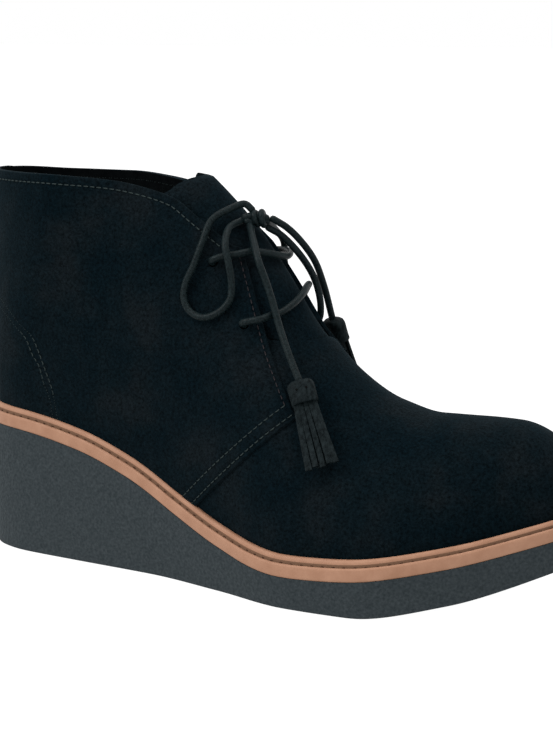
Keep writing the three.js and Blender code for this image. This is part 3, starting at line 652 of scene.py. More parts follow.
def add_laces():
    knot = add_knot()
    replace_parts(knot, "knot")
    lines = {name: smooth_line(points, 0.8) for name, points in LACE_LENGTHS.items()}
    tassels = {}
    for name, (hangs_from, down, out) in TASSELS.items():
        tassels[hangs_from] = add_tassel(name, hangs_from, down, out)
        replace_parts(tassels[hangs_from], name)
    for name, line in lines.items():
        piece = lace_piece(name, line)
        hung = [tassels[name]] if name in tassels else []
        hung += [knot] if name == "lace_end_lateral" else []
        in_row_frame(line[0]).tolist()
        line_length(line) * MM
        in_row_frame(line).tolist()
    for name, (start, end, over) in LACE_BARS.items():
        lace_piece(name, bar_line(start, end, over))


add_laces()


# The last, as in the part's source. w is the turn round the foot, negative on the lateral side, and s the
# share of the way from the sole's edge to the ridge.
def curve(table, column):
    at, value = table[:, 0], table[:, column]
    step = np.diff(value) / np.diff(at)
    before, after = np.r_[step[0], step], np.r_[step, step[-1]]
    same = before * after > 0
    slope = np.where(same, 2 * before * after / np.where(same, before + after, 1), 0)

    def read(x):
        x = np.asarray(x, float)
        i = np.clip(np.searchsorted(at, x, side="left") - 1, 0, len(at) - 2)
        span = at[i + 1] - at[i]
        t = np.clip((x - at[i]) / span, 0, 1)
        ends = value[i] * (1 - t) ** 2 * (1 + 2 * t) + value[i + 1] * t ** 2 * (3 - 2 * t)
        return ends + span * (slope[i] * t * (1 - t) ** 2 - slope[i + 1] * t ** 2 * (1 - t))

    return read


edge_share = {LATERAL: curve(OUTLINE, 1), MEDIAL: curve(OUTLINE, 2)}
flare_share = {LATERAL: curve(WALL_LEAN, 1), MEDIAL: curve(WALL_LEAN, 2)}
rise_share = curve(WALL_LEAN, 3)
climb_share, seat_lift, tread_lift, heel_bevel = (curve(SIDE_VIEW, k) for k in (1, 2, 3, 4))
ridge_along, ridge_climb, ridge_drop, ridge_pull = (curve(RIDGE, k) for k in (1, 2, 3, 4))
topline_fall, topline_dip = curve(TOPLINE, 1), curve(TOPLINE, 2)
LAST_TOP = COLLAR_HEIGHT + TRIM_ALLOWANCE


def seat_z(x):
    at = np.asarray(x) / SOLE_LENGTH
    return FOREFOOT_HEIGHT + (WEDGE_HEIGHT - FOREFOOT_HEIGHT) * climb_share(at) + TOE_SPRING * seat_lift(at)


def tread_z(x):
    at = np.asarray(x) / SOLE_LENGTH
    return TOE_SPRING * tread_lift(at) + HEEL_BEVEL * heel_bevel(at)


def smoothstep(x, low, high):
    t = np.clip((x - low) / (high - low), 0, 1)
    return t * t * (3 - 2 * t)


def stack(x, y, z):
    return np.stack(np.broadcast_arrays(np.asarray(x, float), y, z), axis=-1)


def plan_point(side, turn):
    x = SOLE_LENGTH * (1 - np.cos(np.radians(turn))) / 2
    return np.stack([x, BALL_WIDTH * edge_share[side](turn)], axis=-1)


def outward(side, turn):
    run = plan_point(side, np.minimum(turn + 0.5, 180)) - plan_point(side, np.maximum(turn - 0.5, 0))
    out = unit(np.stack([-run[..., 1], run[..., 0]], axis=-1) * side)
    out = np.where((turn <= 0)[..., None], [-1.0, 0.0], out)
    return np.where((turn >= 180)[..., None], [1.0, 0.0], out)


def inset_point(side, turn, inset):
    return plan_point(side, turn) - outward(side, turn) * np.asarray(inset)[..., None]


def foot_point(side, turn):
    edge = inset_point(side, turn, FEATHER_INSET)
    return stack(edge[..., 0], edge[..., 1], seat_z(edge[..., 0]))


def lean_at(side, turn):
    out = outward(side, turn)
    flare = flare_share[side](turn)
    return stack(out[..., 0] * flare, out[..., 1] * flare, 1.0)


def bezier(p0, p1, p2, p3, t):
    t = np.asarray(t, float)[..., None]
    return p0 * (1 - t) ** 3 + 3 * p1 * t * (1 - t) ** 2 + 3 * p2 * t ** 2 * (1 - t) + p3 * t ** 3


def front_handles(side, turn):
    foot = foot_point(side, turn)
    middle = BALL_WIDTH * (edge_share[LATERAL](turn) + edge_share[MEDIAL](turn)) / 2
    z = TOE_BOX_HEIGHT + (LAST_TOP - TOE_BOX_HEIGHT) * ridge_climb(turn) - TOE_DROP * ridge_drop(turn)
    nose = COLLAR_BACK + COLLAR_LENGTH
    x = nose + (SOLE_LENGTH - FEATHER_INSET - nose) * ridge_along(turn)
    head = stack(x, middle * smoothstep(turn, NOSE_TURN, SWAY_TURN), z)
    reach = (rise_share(turn) * (head[..., 2] - foot[..., 2]))[..., None]
    pull = stack(0.0, side * BALL_WIDTH * ridge_pull(turn), 0.0)
    return foot, foot + lean_at(side, turn) * reach, head + pull, head


def wall_part(handles, share):
    p0, p1, p2, p3 = handles
    low, middle, high = p0 + (p1 - p0) * share, p1 + (p2 - p1) * share, p2 + (p3 - p2) * share
    low_middle, high_middle = low + (middle - low) * share, middle + (high - middle) * share
    return p0, low, low_middle, low_middle + (high_middle - low_middle) * share


def collar_point(side, turn):
    middle = np.array([COLLAR_MIDDLE, side * COLLAR_WIDTH / 2, LAST_TOP])
    angle = np.pi * np.clip(turn, 0, NOSE_TURN / 2) / NOSE_TURN
    back = stack(middle[0] - (COLLAR_MIDDLE - COLLAR_BACK) * np.maximum(np.cos(angle), 0) ** 1.1,
                 middle[1] * np.sin(angle) ** 0.9, LAST_TOP)
    nose = np.array([NOSE_TURN, NOSE_TURN + 1])
    ends = bezier(*front_handles(side, nose), np.array([CROWN_SHARE, CROWN_SHARE]))
    end, heading = ends[0], unit(ends[1] - ends[0])
    reach = (end[0] - middle[0]) / 3
    along = np.clip(2 * turn / NOSE_TURN - 1, 0, 1)
    front = bezier(middle, middle + [reach, 0, 0], end - heading * reach, end, along)
    return np.where((turn < NOSE_TURN / 2)[..., None], back, front)


def side_surface(side, turn, s):
    front = bezier(*front_handles(side, np.maximum(turn, NOSE_TURN)), s)
    first = wall_part([p[0] for p in front_handles(side, np.array([NOSE_TURN]))], CROWN_SHARE)
    low = np.minimum(turn, NOSE_TURN)
    share = smoothstep(low, NOSE_TURN * 0.3, NOSE_TURN)
    foot, head = foot_point(side, low), collar_point(side, low)
    height = head[..., 2] - foot[..., 2]
    first_rise = (first[1][2] - first[0][2]) / (first[3][2] - first[0][2])
    rise = (rise_share(low) * (1 - share) + first_rise * share) * height
    part_way = share[..., None]
    down = stack(0.0, 0.0, -SHAFT_PULL * height) * (1 - part_way) + (first[2] - first[3]) * part_way
    shaft = bezier(foot, foot + lean_at(side, low) * rise[..., None], head + down, head,
                   np.minimum(s / CROWN_SHARE, 1))
    return np.where((turn < NOSE_TURN)[..., None], shaft, front)


def surface(w, s):
    w, s = np.broadcast_arrays(np.asarray(w, float), np.asarray(s, float))
    w = (w + 180) % 360 - 180
    turn = np.abs(w)
    return np.where((w < 0)[..., None], side_surface(LATERAL, turn, s), side_surface(MEDIAL, turn, s))


def surface_normal(w, s):
    w, s = np.broadcast_arrays(np.asarray(w, float), np.asarray(s, float))
    around = surface(w + 0.4, s) - surface(w - 0.4, s)
    up = surface(w, np.minimum(s + 0.004, 1)) - surface(w, np.maximum(s - 0.004, 0))
    return unit(np.cross(up, around))


# Soft creases of the worn leather: each is a line in the side view from one x, z to another, with its
# half breadth and its depth in millimetres, on both sides of the boot.
CREASES = [
    ((96, 128), (120, 104), 5.5, 0.45),
    ((84, 118), (112, 92), 7.0, 0.40),
    ((70, 100), (98, 76), 8.0, 0.35),
    ((120, 92), (140, 72), 6.0, 0.35),
    ((164, 60), (176, 44), 7.0, 0.40),
    ((178, 64), (190, 42), 8.0, 0.45),
    ((196, 66), (206, 40), 8.0, 0.35),
    ((40, 128), (62, 108), 9.0, 0.35),
    ((28, 84), (52, 72), 8.0, 0.30),
]


def crease_depth(points):
    """How far the leather lies below its smooth form: a trough with a soft ridge on either side."""
    x, z = points[..., 0], points[..., 2]
    depth = np.zeros(x.shape)
    for (x0, z0), (x1, z1), breadth, deep in CREASES:
        run = np.array([x1 - x0, z1 - z0])
        length = np.linalg.norm(run)
        along = ((x - x0) * run[0] + (z - z0) * run[1]) / length ** 2
        off = (-(x - x0) * run[1] + (z - z0) * run[0]) / length
        off = off - 0.12 * length * np.sin(np.pi * along)
        fade = smoothstep(along, -0.35, 0.15) * (1 - smoothstep(along, 0.85, 1.35))
        ratio = (off / breadth) ** 2
        depth += deep * fade * (1 - ratio) * np.exp(-ratio)
    return depth


def top_z(x, w):
    along = np.clip(x / FACING_TOP_X, 0, 1)
    dip = np.where(w > 0, MEDIAL_DIP, 0.0)
    return COLLAR_HEIGHT - (COLLAR_HEIGHT - FACING_TOP_Z) * topline_fall(along) - dip * topline_dip(along)


def facing_half(z, w):
    """Half the throat's breadth at a height, on the side of the boot that w is on."""
    half = {}
    for side, (_, _, corner_y, corner_z) in QUARTER_CORNER.items():
        share = np.clip((FACING_TOP_Z - z) / (FACING_TOP_Z - corner_z), 0, None)
        half[side] = FACING_GAP / 2 + (corner_y - FACING_GAP / 2) * share
    return np.where(w < 0, half[LATERAL], half[MEDIAL])


def quarter_foot_z(y):
    """Height of the quarters' throat foot, which climbs to the medial corner."""
    low, high = QUARTER_CORNER[LATERAL][3], QUARTER_CORNER[MEDIAL][3]
    return low + (high - low) * np.clip(y / QUARTER_CORNER[MEDIAL][2], 0, 1)


def above_quarter(w, s, foot_z=None):
    p = surface(w, s)
    x, y, z = p[..., 0], p[..., 1], p[..., 2]
    foot = quarter_foot_z(y) if foot_z is None else foot_z
    above = (z > top_z(x, w)) | ((x > FACING_TOP_X) & (z > FACING_TOP_Z))
    throat = (np.abs(y) < facing_half(z, w)) & (z > foot) & (x > THROAT_BACK_X)
    return above | throat


def above_vamp(w, s):
    return above_quarter(w, s, THROAT_FOOT_Z)


def behind_slant(w, s):
    """True behind the quarters' slanted edge."""
    p = surface(w, s)
    edge_x = {}
    for side, (foot_x, corner_x, _, corner_z) in QUARTER_CORNER.items():
        foot_z = float(seat_z(foot_x))
        edge_x[side] = foot_x + (corner_x - foot_x) * (p[..., 2] - foot_z) / (corner_z - foot_z)
    return p[..., 0] <= np.where(w < 0, edge_x[LATERAL], edge_x[MEDIAL])


def first_share(w, test):
    """Smallest s at which the test is true on each column w, or else 1."""
    s = np.linspace(0, 1, 401)
    met = test(w[:, None], s[None, :])
    found = met.any(axis=1)
    index = np.argmax(met, axis=1)
    high, low = s[index], s[np.maximum(index - 1, 0)]
    for _ in range(18):
        middle = (low + high) / 2
        hit = test(w, middle)
        high, low = np.where(hit, middle, high), np.where(hit, low, middle)
    return np.where(found, high, 1.0)


def section_steps(w, start, end, distances_from_start, distances_from_end, middle_rows):
    """Shares s on each column at set distances from both ends and evenly between them."""
    fine = np.linspace(0, 1, 161)
    s = start[:, None] + (end - start)[:, None] * fine[None, :]
    p = surface(w[:, None], s)
    steps = np.linalg.norm(np.diff(p, axis=1), axis=2)
    lengths = np.concatenate([np.zeros((len(w), 1)), np.cumsum(steps, axis=1)], axis=1)
    shares, near_start, near_end = [], [], []
    for k in range(len(w)):
        total = lengths[k, -1]
        head, tail = distances_from_start[k], distances_from_end[k]
        room = min(1.0, total / max(1.15 * (head[-1] + tail[-1]), 1e-9))
        head, tail = head * room, tail * room
        between = np.linspace(head[-1], total - tail[-1], middle_rows + 2)[1:-1]
        at = np.concatenate([head, between, total - tail[::-1]])
        shares.append(np.interp(at, lengths[k], s[k]))
        near_start.append(at)
        near_end.append(total - at)
    return np.array(shares), np.array(near_start), np.array(near_end)


def slant_of(w, s_edge):
    """Sine of the angle between the panel's edge and each column, smoothed along the edge."""
    p = surface(w, s_edge)
    along_edge = unit(np.gradient(p, axis=0))
    up = unit(surface(w, np.minimum(s_edge + 0.01, 1)) - surface(w, np.maximum(s_edge - 0.01, 0)))
    sine = np.clip(np.linalg.norm(np.cross(along_edge, up), axis=1), 0.35, 1)
    return np.convolve(np.pad(sine, 3, mode="edge"), np.ones(7) / 7, mode="valid")


def distance_to(line, points):
    """Distance of each point from a line through corners."""
    flat = points.reshape(-1, 3)
    nearest = np.full(len(flat), np.inf)
    for start, run in zip(line[:-1], np.diff(line, axis=0)):
        t = np.clip(((flat - start) @ run) / max(run @ run, 1e-9), 0, 1)
        nearest = np.minimum(nearest, ((flat - start - t[:, None] * run) ** 2).sum(axis=1))
    return np.sqrt(nearest).reshape(points.shape[:-1])


# Perpendicular distances from a stitched edge at which the panel has rows, and the stitched rows
EDGE_ROWS = np.array([
    0, 0.12, 0.35, 0.6, 1.1, 1.5, 1.8, 2.1, 2.6, 3.2, 3.5, 3.9, 4.6, 5.6, 6.1, 6.5, 6.9, 7.4, 8.6, 10.5,
])
SEAT_ROWS = np.array([0, 3.0, 6.0, 9.0])
THROAT_ROWS = np.array([0, 0.5, 1.5, 3.0])
QUARTER_MIDDLE_ROWS = 26
VAMP_MIDDLE_ROWS = 54
TOPLINE_STITCH = 3.5
FACING_STITCH = 2.0
SLANT_STITCH_LOW = 1.8
SLANT_STITCH_HIGH = 6.5
RIM = 0.6
# The raised band between the slanted edge's stitched rows: distances where it rises and falls, and its lift
BAND_RISE = (1.9, 2.6)
BAND_FALL = (5.8, 6.4)
BAND_LIFT = 0.16
# Where the panel is narrower than this, its stitched rows get shallower
FULL_BREADTH = 12.0
# How far the quarters' inner face lies under the last's surface
UNDERLAP = 0.25
# The vamp thins toward the throat's foot, where the tongue runs on from it
THROAT_FALL = 1.75
THROAT_FALL_LENGTH = 14.0


def rounded(distance, radius):
    inside = np.clip(distance / radius, 0, 1)
    return radius * (1 - np.sqrt(1 - (1 - inside) ** 2))


def groove(distance, at, breadth=0.5, depth=0.22):
    return depth * np.exp(-((distance - at) / breadth) ** 2)


def quarter_edges(w):
    """Shares at which the quarters begin and end on each column."""
    top = first_share(w, above_quarter)
    return np.minimum(first_share(w, behind_slant), top), top


def find_tip(side):
    """The turn at which the slanted edge meets the facing's edge."""
    w = side * np.linspace(70, 125, 221)
    low, top = quarter_edges(w)
    return np.abs(w[np.nonzero(low < top - 1e-4)[0][-1]])


TIP = {side: find_tip(side) for side in (LATERAL, MEDIAL)}
QUARTER_COLUMNS = np.concatenate([
    -np.linspace(TIP[LATERAL], 0, 170), np.linspace(0, TIP[MEDIAL], 170)[1:],
])


def slanted_lines(w, low):
    """The slanted edge of each quarter, from the seat to its corner."""
    return [surface(w[part], low[part]) for part in ((low > 1e-3) & (w < 0), (low > 1e-3) & (w > 0))]


def add_quarters():
    w = QUARTER_COLUMNS
    low, top = quarter_edges(w)
    top_line = surface(w, top)
    low_sine = np.where(low > 1e-3, slant_of(w, low), 1.0)
    top_sine = slant_of(w, top)
    heads = [EDGE_ROWS / sine for sine in low_sine]
    tails = [EDGE_ROWS / sine for sine in top_sine]
    shares, from_low, from_top = section_steps(w, low, top, heads, tails, QUARTER_MIDDLE_ROWS)
    p = surface(w[:, None], shares)
    n = surface_normal(w[:, None], shares)
    room = np.minimum(1, (from_low + from_top)[:, :1] / FULL_BREADTH)
    low_distance = np.minimum(*[distance_to(line, p) for line in slanted_lines(w, low)])
    top_distance = distance_to(top_line, p)
    crease = crease_depth(p)
    height = QUARTER_STEP - crease - rounded(low_distance, RIM) - rounded(top_distance, RIM)
    stitch_top = np.where(p[..., 0] > FACING_TOP_X - 1, FACING_STITCH, TOPLINE_STITCH)
    height -= room * groove(top_distance, stitch_top)
    band = smoothstep(low_distance, *BAND_RISE) * (1 - smoothstep(low_distance, *BAND_FALL))
    grooves = groove(low_distance, SLANT_STITCH_LOW) + groove(low_distance, SLANT_STITCH_HIGH)
    height += room * (BAND_LIFT * band - grooves)
    outer = p + n * height[..., None]
    inner = p[:, ::-1] - n[:, ::-1] * (UNDERLAP + crease[:, ::-1])[..., None]
    loops = np.concatenate([outer, inner], axis=1)
    faces = loop_faces(len(w), loops.shape[1], False)
    shape = Shape().add(loops.reshape(-1, 3), faces, 0)
    return shape.piece("quarters", "upper", [SUEDE], sharp=50, merge=0.01)


def ring_columns(count):
    """Turns round the whole foot, closer together at the heel and the toe."""
    return np.linspace(-180, 180, count, endpoint=False)


def outline_points(w, inset):
    turn = np.abs(w)
    inset = np.broadcast_to(inset, w.shape)
    return np.where((w < 0)[:, None], inset_point(LATERAL, turn, inset), inset_point(MEDIAL, turn, inset))


def ring_at(w, inset, rise):
    """The sole's outline drawn in by an inset, at a rise above the seat."""
    flat = outline_points(w, inset)
    return stack(flat[:, 0], flat[:, 1], seat_z(flat[:, 0]) + rise)


def add_vamp():
    w = ring_columns(360)
    top = first_share(w, above_vamp)
    cut = top < 1 - 1e-6
    low = np.zeros(len(w))
    heads = [SEAT_ROWS] * len(w)
    tails = [THROAT_ROWS] * len(w)
    shares, _, from_top = section_steps(w, low, top, heads, tails, VAMP_MIDDLE_ROWS)
    p = surface(w[:, None], shares)
    n = surface_normal(w[:, None], shares)
    crease = crease_depth(p)
    tuck = np.where(cut[:, None], 0.25 * (1 - np.clip(from_top / 1.5, 0, 1)), 0)
    at_throat = np.where(cut, 1 - smoothstep(p[:, -1, 2], THROAT_FOOT_Z + 0.5, THROAT_FOOT_Z + 3), 0)
    fall = THROAT_FALL * at_throat[:, None] * (1 - smoothstep(from_top, 0, THROAT_FALL_LENGTH))
    outer = p - n * (crease + np.maximum(tuck, fall))[..., None]
    inner = p - n * np.maximum(WALL + 0.2 * crease, crease + fall + 0.1)[..., None]
    rows = shares.shape[1]
    shape = Shape()
    total = len(w) * rows
    faces, kinds = [], []
    for i in range(len(w)):
        j = (i + 1) % len(w)
        for k in range(rows - 1):
            a, b, c, d = i * rows + k, j * rows + k, j * rows + k + 1, i * rows + k + 1
            faces += [(a, b, c, d), (total + d, total + c, total + b, total + a)]
            kinds += [0, 1]
        if cut[i] and cut[j]:
            a, b = i * rows + rows - 1, j * rows + rows - 1
            faces.append((a, b, total + b, total + a))
            kinds.append(0)
        a, b = i * rows, j * rows
        faces.append((b, a, total + a, total + b))
        kinds.append(0)
    shape.add(np.concatenate([outer.reshape(-1, 3), inner.reshape(-1, 3)]), faces, kinds)
    return shape.piece("vamp_and_lining", "upper", [SUEDE, LINING], sharp=60, merge=0.02)


def punch(piece):
    """Cuts the lace holes through a piece of the upper."""
    pins = Shape()
    for name in LACE_HOLES:
        line = np.array([hole_point(name, rise) for rise in (-HOLE_REACH, 0, HOLE_REACH)])
        add_tube(pins, line, SEEN_HOLE / 2, around=24, round_ends=False)
    mesh = bpy.data.meshes.new("pins")
    mesh.from_pydata(in_row_frame(np.concatenate(pins.points)).tolist(), [], pins.faces)
    cutter = bpy.data.objects.new("pins", mesh)
    bpy.context.scene.collection.objects.link(cutter)
    cut = piece.modifiers.new("holes", "BOOLEAN")
    cut.operation = "DIFFERENCE"
    cut.solver = "EXACT"
    cut.object = cutter
    punched = bpy.data.meshes.new_from_object(piece.evaluated_get(bpy.context.evaluated_depsgraph_get()))
    piece.modifiers.clear()
    piece.data = punched
    bpy.data.objects.remove(cutter)


vamp = add_vamp()
quarters = add_quarters()
punch(vamp)
punch(quarters)
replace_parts(vamp, "upper")


# Sole and welt
RIM_COLUMNS = 420
TREAD_EDGE_LIFT = 1.0
LIP_TRIM = 0.5
WELT_TUCK = 0.5
WELT_STITCH_INSET = 1.62
# Rows of the welt's profile whose faces take the darker groove colour: painted shade in the stitch groove and
# at the lip's foot
WELT_GROOVE_PAINTED_SHADE_ROWS = range(9, 13)


def capped_rings(rings):
    """A shape of rings, closed below and above by strips from side to side."""
    count = len(rings[0])
    faces = loop_faces(len(rings), count, False)
    last_row = (len(rings) - 1) * count
    for i in range(count // 2):
        corners = ((count - i) % count, (count - i - 1) % count, i + 1, i)
        corners = corners if i else corners[1:]
        faces.append(corners)
        faces.append(tuple(last_row + k for k in corners[::-1]))
    return Shape().add(np.array(rings).reshape(-1, 3), faces)


def add_sole():
    w = ring_columns(RIM_COLUMNS)
    profile = [(TREAD_INSET + 2.0, 0.0, 0.0), (TREAD_INSET + 0.45, 0.0, 0.05), (TREAD_INSET + 0.1, 0.0, 0.35)]
    profile += [(TREAD_INSET * (1 - t), t, TREAD_EDGE_LIFT * (1 - t)) for t in np.linspace(0, 1, 15)]
    rings = []
    for inset, share, lift in profile:
        flat = outline_points(w, inset)
        low, high = tread_z(flat[:, 0]), seat_z(flat[:, 0])
        rings.append(stack(flat[:, 0], flat[:, 1], low + (high - low) * share + lift))
    rings.append(ring_at(w, FEATHER_INSET + 2, 0))
    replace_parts(capped_rings(rings).piece("sole_rubber", "sole", [RUBBER], sharp=50), "sole")


def upper_inset_points(w, rise):
    """Points of the upper's surface at a height above the seat."""
    s = np.linspace(0, 0.35, 60)
    p = surface(w[:, None], s[None, :])
    up = p[..., 2] - seat_z(p[..., 0])
    index = np.argmax(up > rise, axis=1)
    return p[np.arange(len(w)), index]


def add_welt():
    w = ring_columns(RIM_COLUMNS)
    total = WELT_HEIGHT + LIP_HEIGHT - LIP_TRIM
    profile = [
        (0.35, 0.02), (0.05, 0.35), (0.0, 1.0), (-0.02, 2.6), (0.0, WELT_HEIGHT - 1.0),
        (0.12, WELT_HEIGHT - 0.5), (0.4, WELT_HEIGHT - 0.14), (0.75, WELT_HEIGHT - 0.02),
        (1.0, WELT_HEIGHT - 0.12), (1.15, WELT_HEIGHT - 0.55), (SHELF_WIDTH, WELT_HEIGHT - GROOVE_DEPTH),
        (WELT_STITCH_INSET, WELT_HEIGHT - 0.45), (1.72, WELT_HEIGHT + 0.2), (1.78, WELT_HEIGHT + 1.0),
        (1.9, total - 1.1), (2.15, total - 0.5), (2.55, total - 0.12), (3.1, total), (3.7, total - 0.1),
    ]
    rings = [ring_at(w, inset, rise) for inset, rise in profile]
    normal = unit(outline_points(w, 0.0) - outline_points(w, 1.0))
    for rise in (total - 0.3, 0.5):
        flat = upper_inset_points(w, rise)[:, :2] - normal * WELT_TUCK
        rings.append(stack(flat[:, 0], flat[:, 1], seat_z(flat[:, 0]) + rise))
    faces = loop_faces(len(rings), len(w), True)
    # Faces of those rows take the second material, the painted shade of the groove
    kinds = [int(i in WELT_GROOVE_PAINTED_SHADE_ROWS) for i in range(len(rings)) for _ in w]
    shape = Shape().add(np.array(rings).reshape(-1, 3), faces, kinds)
    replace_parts(shape.piece("welt_strip", "welt", [WELT, WELT_GROOVE_PAINTED_SHADE], sharp=50), "welt")


add_sole()
add_welt()


# Tongue
TREE_COLUMNS, TREE_ROWS = 240, 90


def last_tree(offset):
    """The last's surface at an offset, to find points on."""
    w = ring_columns(TREE_COLUMNS)[:, None]
    s = np.linspace(0, 1, TREE_ROWS)[None, :]
    points = (surface(w, s) + surface_normal(w, s) * offset).reshape(-1, 3)
    faces = [(a, d, c, b) for a, b, c, d in loop_faces(TREE_COLUMNS, TREE_ROWS, True, False)]
    return BVHTree.FromPolygons([tuple(point) for point in points], faces)


def front_hit(tree, y, z):
    hit = tree.ray_cast(Vector((SOLE_LENGTH + 50, y, z)), Vector((-1, 0, 0)))
    return None if hit[0] is None else np.array(hit[0])


TONGUE_TREE = last_tree(-WALL - FIT_GAP)
TONGUE_BACK_TREE = last_tree(-WALL - FIT_GAP - TONGUE_THICKNESS)


tongue_fall = curve(TONGUE_TOP, 1)


def tongue_top(y):
    return TONGUE_TOP_Z - (TONGUE_TOP_Z - FACING_TOP_Z) * float(tongue_fall(2 * y / TONGUE_WIDTH))


def add_tongue():
    half = TONGUE_WIDTH / 2
    ys = half * np.array([-1, -0.985, -0.95, *np.linspace(-0.9, 0.9, 31), 0.95, 0.985, 1])
    shares = np.concatenate([np.linspace(0, 0.96, 48), [0.975, 0.99, 1.0]])
    front, back = [], []
    for share in shares:
        for y in ys:
            z = TONGUE_FOOT_Z + (tongue_top(y) - TONGUE_FOOT_Z) * share
            f, b = front_hit(TONGUE_TREE, y, z), front_hit(TONGUE_BACK_TREE, y, z)
            if f is None:
                f = b + np.array([TONGUE_THICKNESS, 0, 0])
            edge = min(half - abs(y), (1 - share) * 60)
            sink = rounded(np.array(edge), 0.7)
            front.append(f + np.array([-0.72 * sink, 0, -0.5 * sink]))
            back.append(b + np.array([0.4 * sink, 0, 0.2 * sink]))
    rows, columns = len(shares), len(ys)
    faces = loop_faces(rows, columns, False, False)
    total = rows * columns
    faces += [tuple(total + k for k in face[::-1]) for face in loop_faces(rows, columns, False, False)]
    for k in range(columns - 1):
        faces.append((k + 1, k, total + k, total + k + 1))
        a, b = (rows - 1) * columns + k, (rows - 1) * columns + k + 1
        faces.append((a, b, total + b, total + a))
    for k in range(rows - 1):
        a, b = k * columns, (k + 1) * columns
        faces.append((a, b, total + b, total + a))
        a, b = k * columns + columns - 1, (k + 1) * columns + columns - 1
        faces.append((b, a, total + a, total + b))
    shape = Shape().add(np.array(front + back), faces)
    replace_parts(shape.piece("tongue_suede", "tongue", [SUEDE], sharp=55), "tongue")


add_tongue()


# Stitches
STITCH_SIDES = 6
# Pitch, length and radius of each kind of row
ROW_STITCH = (2.65, 1.75, 0.24)
FACING_ROW = (2.65, 1.6, 0.22)
COUNTER_ROW = (2.5, 1.6, 0.22)
WELT_ROW = (4.3, 1.0, 0.24)
# How deep a row of stitches lies in its groove
ROW_DEPTH = 0.16
# The heel counter's two stitched rows, as seen from the side: x and height
COUNTER_LINES = [
    [(6, 104.5), (18.1, 102.4), (23.6, 99.3), (32.2, 93.4), (37.6, 89.9), (41.5, 83), (44.2, 76.3),
     (47.2, 68), (48.4, 60), (49.2, 54)],
    [(5, 101.8), (16.2, 99.6), (29.3, 92.2), (34.9, 88), (38.1, 81.8), (41.1, 77.6), (42.7, 71.2),
     (45.3, 65.3), (46.4, 58), (47.0, 53)],
]


def add_stitches(shape, line, normals, pitch, length, radius):
    """Separate stitches along a line on a surface, each a small round bar that dips at its ends."""
    distance = np.concatenate([[0], np.cumsum(np.linalg.norm(np.diff(line, axis=0), axis=1))])
    starts = np.arange(0.3, distance[-1] - length, pitch)
    for start in starts:
        at = start + length * np.array([0.0, 0.12, 0.35, 0.65, 0.88, 1.0])
        lift = radius * np.array([-1.3, 0.05, 0.45, 0.45, 0.05, -1.3])
        size = radius * np.array([0.55, 0.9, 1.0, 1.0, 0.9, 0.55])
        points = np.stack([np.interp(at, distance, line[:, k]) for k in range(3)], axis=1)
        normal = unit(np.stack([np.interp(at, distance, normals[:, k]) for k in range(3)], axis=1))
        points = points + normal * lift[:, None]
        tangent = unit(np.gradient(points, axis=0))
        side = unit(np.cross(tangent, normal))
        up = np.cross(side, tangent)
        angles = np.linspace(0, 2 * math.pi, STITCH_SIDES, endpoint=False)
        rings = [points[i] + size[i] * (np.outer(np.cos(angles), side[i]) + np.outer(np.sin(angles), up[i]))
                 for i in range(6)]
        faces = loop_faces(len(rings), STITCH_SIDES, False) + ends_of(len(rings), STITCH_SIDES)
        shape.add(np.concatenate(rings), faces)


def nearest(tree, line):
    """Points and normals where a surface is nearest to a line's points."""
    hits = [tree.find_nearest(Vector(point)) for point in line]
    return np.array([hit[0] for hit in hits]), np.array([hit[1] for hit in hits])


def edge_row(tree, line, toward, distance):
    """Points and normals on a surface at a distance from a panel's edge, on the side it looks toward."""
    line = even_steps(line, 1.0)
    across = np.cross(nearest(tree, line)[1], unit(np.gradient(line, axis=0)))
    across = across * np.sign((across @ np.array(toward)).mean())
    points, normals = nearest(tree, line + across * distance)
    return points - normals * (crease_depth(points) + ROW_DEPTH)[:, None], normals


def counter_half(tree, drawn, side):
    """A line drawn from the side, laid on one side of the boot."""
    hits = [tree.ray_cast(Vector((x, side * BALL_WIDTH, z)), Vector((0, -side, 0))) for x, _, z in drawn]
    return np.array([hit[0] for hit in hits if hit[0] is not None])


def add_quarter_stitches():
    grey, rust = Shape(), Shape()
    w = QUARTER_COLUMNS
    low, top = quarter_edges(w)
    top_line = surface(w, top)
    outside, inside = last_tree(QUARTER_STEP), last_tree(-WALL)
    topline = top_line[top_line[:, 0] < FACING_TOP_X - 2.0]
    add_stitches(grey, *edge_row(outside, topline, (0, 0, -1), TOPLINE_STITCH), *ROW_STITCH)
    points, normals = edge_row(inside, topline, (0, 0, -1), TOPLINE_STITCH)
    add_stitches(grey, points - normals * 0.1, -normals, *ROW_STITCH)
    for side, slanted in zip((LATERAL, MEDIAL), slanted_lines(w, low)):
        facing = top_line[(w * side > 0) & (top_line[:, 0] > FACING_TOP_X - 0.5)]
        facing = facing[np.abs(facing[:, 2] - facing[:, 2].min()) > 4]
        add_stitches(rust, *edge_row(outside, facing, (-1, side, -0.5), FACING_STITCH), *FACING_ROW)
        for distance in (SLANT_STITCH_LOW, SLANT_STITCH_HIGH):
            add_stitches(grey, *edge_row(outside, slanted, (-1, 0, 1), distance), *ROW_STITCH)
    counter = last_tree(QUARTER_STEP - 0.12)
    for row in COUNTER_LINES:
        drawn = smooth_line([(x, 0, z) for x, z in row], 1.0)
        lateral, medial = [counter_half(counter, drawn, side) for side in (LATERAL, MEDIAL)]
        points, normals = nearest(counter, even_steps(np.vstack([lateral[::-1], medial]), 1.0))
        add_stitches(grey, points - normals * crease_depth(points)[:, None], normals, *COUNTER_ROW)
    grey.piece("quarter_stitches", "upper", [THREAD])
    rust.piece("facing_stitches", "upper", [THREAD_RUST])


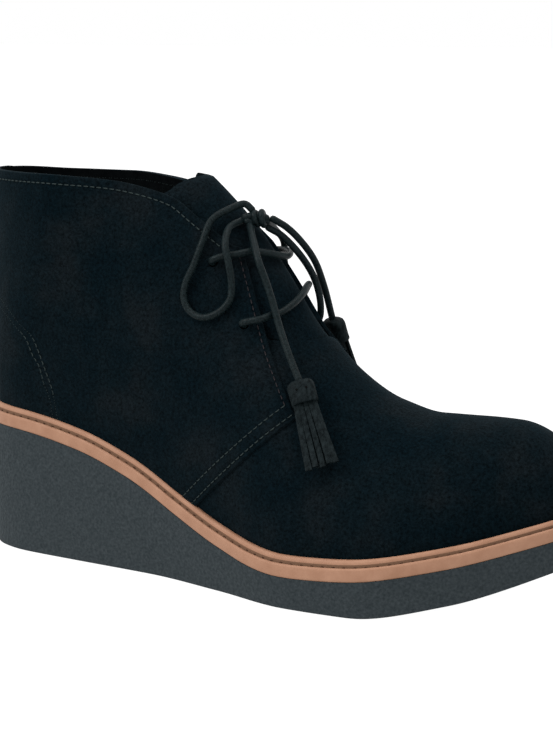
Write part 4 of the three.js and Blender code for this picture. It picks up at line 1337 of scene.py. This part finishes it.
def add_welt_stitches():
    w = ring_columns(900)
    out = unit(outline_points(w, 0.0) - outline_points(w, 1.0))
    normals = unit(stack(out[:, 0], out[:, 1], 1.6))
    shape = Shape()
    add_stitches(shape, ring_at(w, WELT_STITCH_INSET, WELT_HEIGHT + 0.05), normals, *WELT_ROW)
    shape.piece("welt_stitches", "welt", [WELT_THREAD])


def add_insole():
    w = ring_columns(300)
    inset = FEATHER_INSET + WALL + 2 * FIT_GAP
    top = FIT_GAP + INSOLE_THICKNESS
    profile = [(0.6, FIT_GAP), (0.0, FIT_GAP + 0.5), (0.0, top - 0.7), (0.25, top - 0.2), (0.9, top)]
    rings = [ring_at(w, inset + extra, rise) for extra, rise in profile]
    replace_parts(capped_rings(rings).piece("insole_board", "insole", [BOARD]), "insole")


add_quarter_stitches()
add_welt_stitches()
add_insole()


# Studio
def add_area(name, position, size, power):
    data = bpy.data.lights.new(name, "AREA")
    data.shape = "RECTANGLE"
    data.size, data.size_y = size
    data.energy = power
    lamp = bpy.data.objects.new(name, data)
    lamp.location = position
    lamp.rotation_euler = (Vector((0, 0, 0.07)) - Vector(position)).to_track_quat("-Z", "Y").to_euler()
    bpy.context.scene.collection.objects.link(lamp)


def add_studio():
    bpy.ops.mesh.primitive_plane_add(size=30, location=(0, 0, -0.0002))
    floor = bpy.context.object
    floor.name = "floor"
    material = new_material("floor", 0.9, specular=0.1)
    shader = material.node_tree.nodes["Principled BSDF"]
    shader.inputs["Base Color"].default_value = (0.1, 0.1, 0.1, 1)
    shader.inputs["Emission Color"].default_value = (1, 1, 1, 1)
    shader.inputs["Emission Strength"].default_value = 1.0
    floor.data.materials.append(material)
    world = bpy.data.worlds.new("studio")
    bpy.context.scene.world = world
    world.use_nodes = True
    world.node_tree.nodes["Background"].inputs["Color"].default_value = (1, 1, 1, 1)
    world.node_tree.nodes["Background"].inputs["Strength"].default_value = 1.0
    add_area("key", (-0.9, -1.3, 1.5), (1.0, 1.0), 26)
    add_area("top", (0.3, 0.1, 1.6), (1.2, 1.2), 12)
    bpy.context.scene.view_settings.view_transform = "Standard"


add_studio()
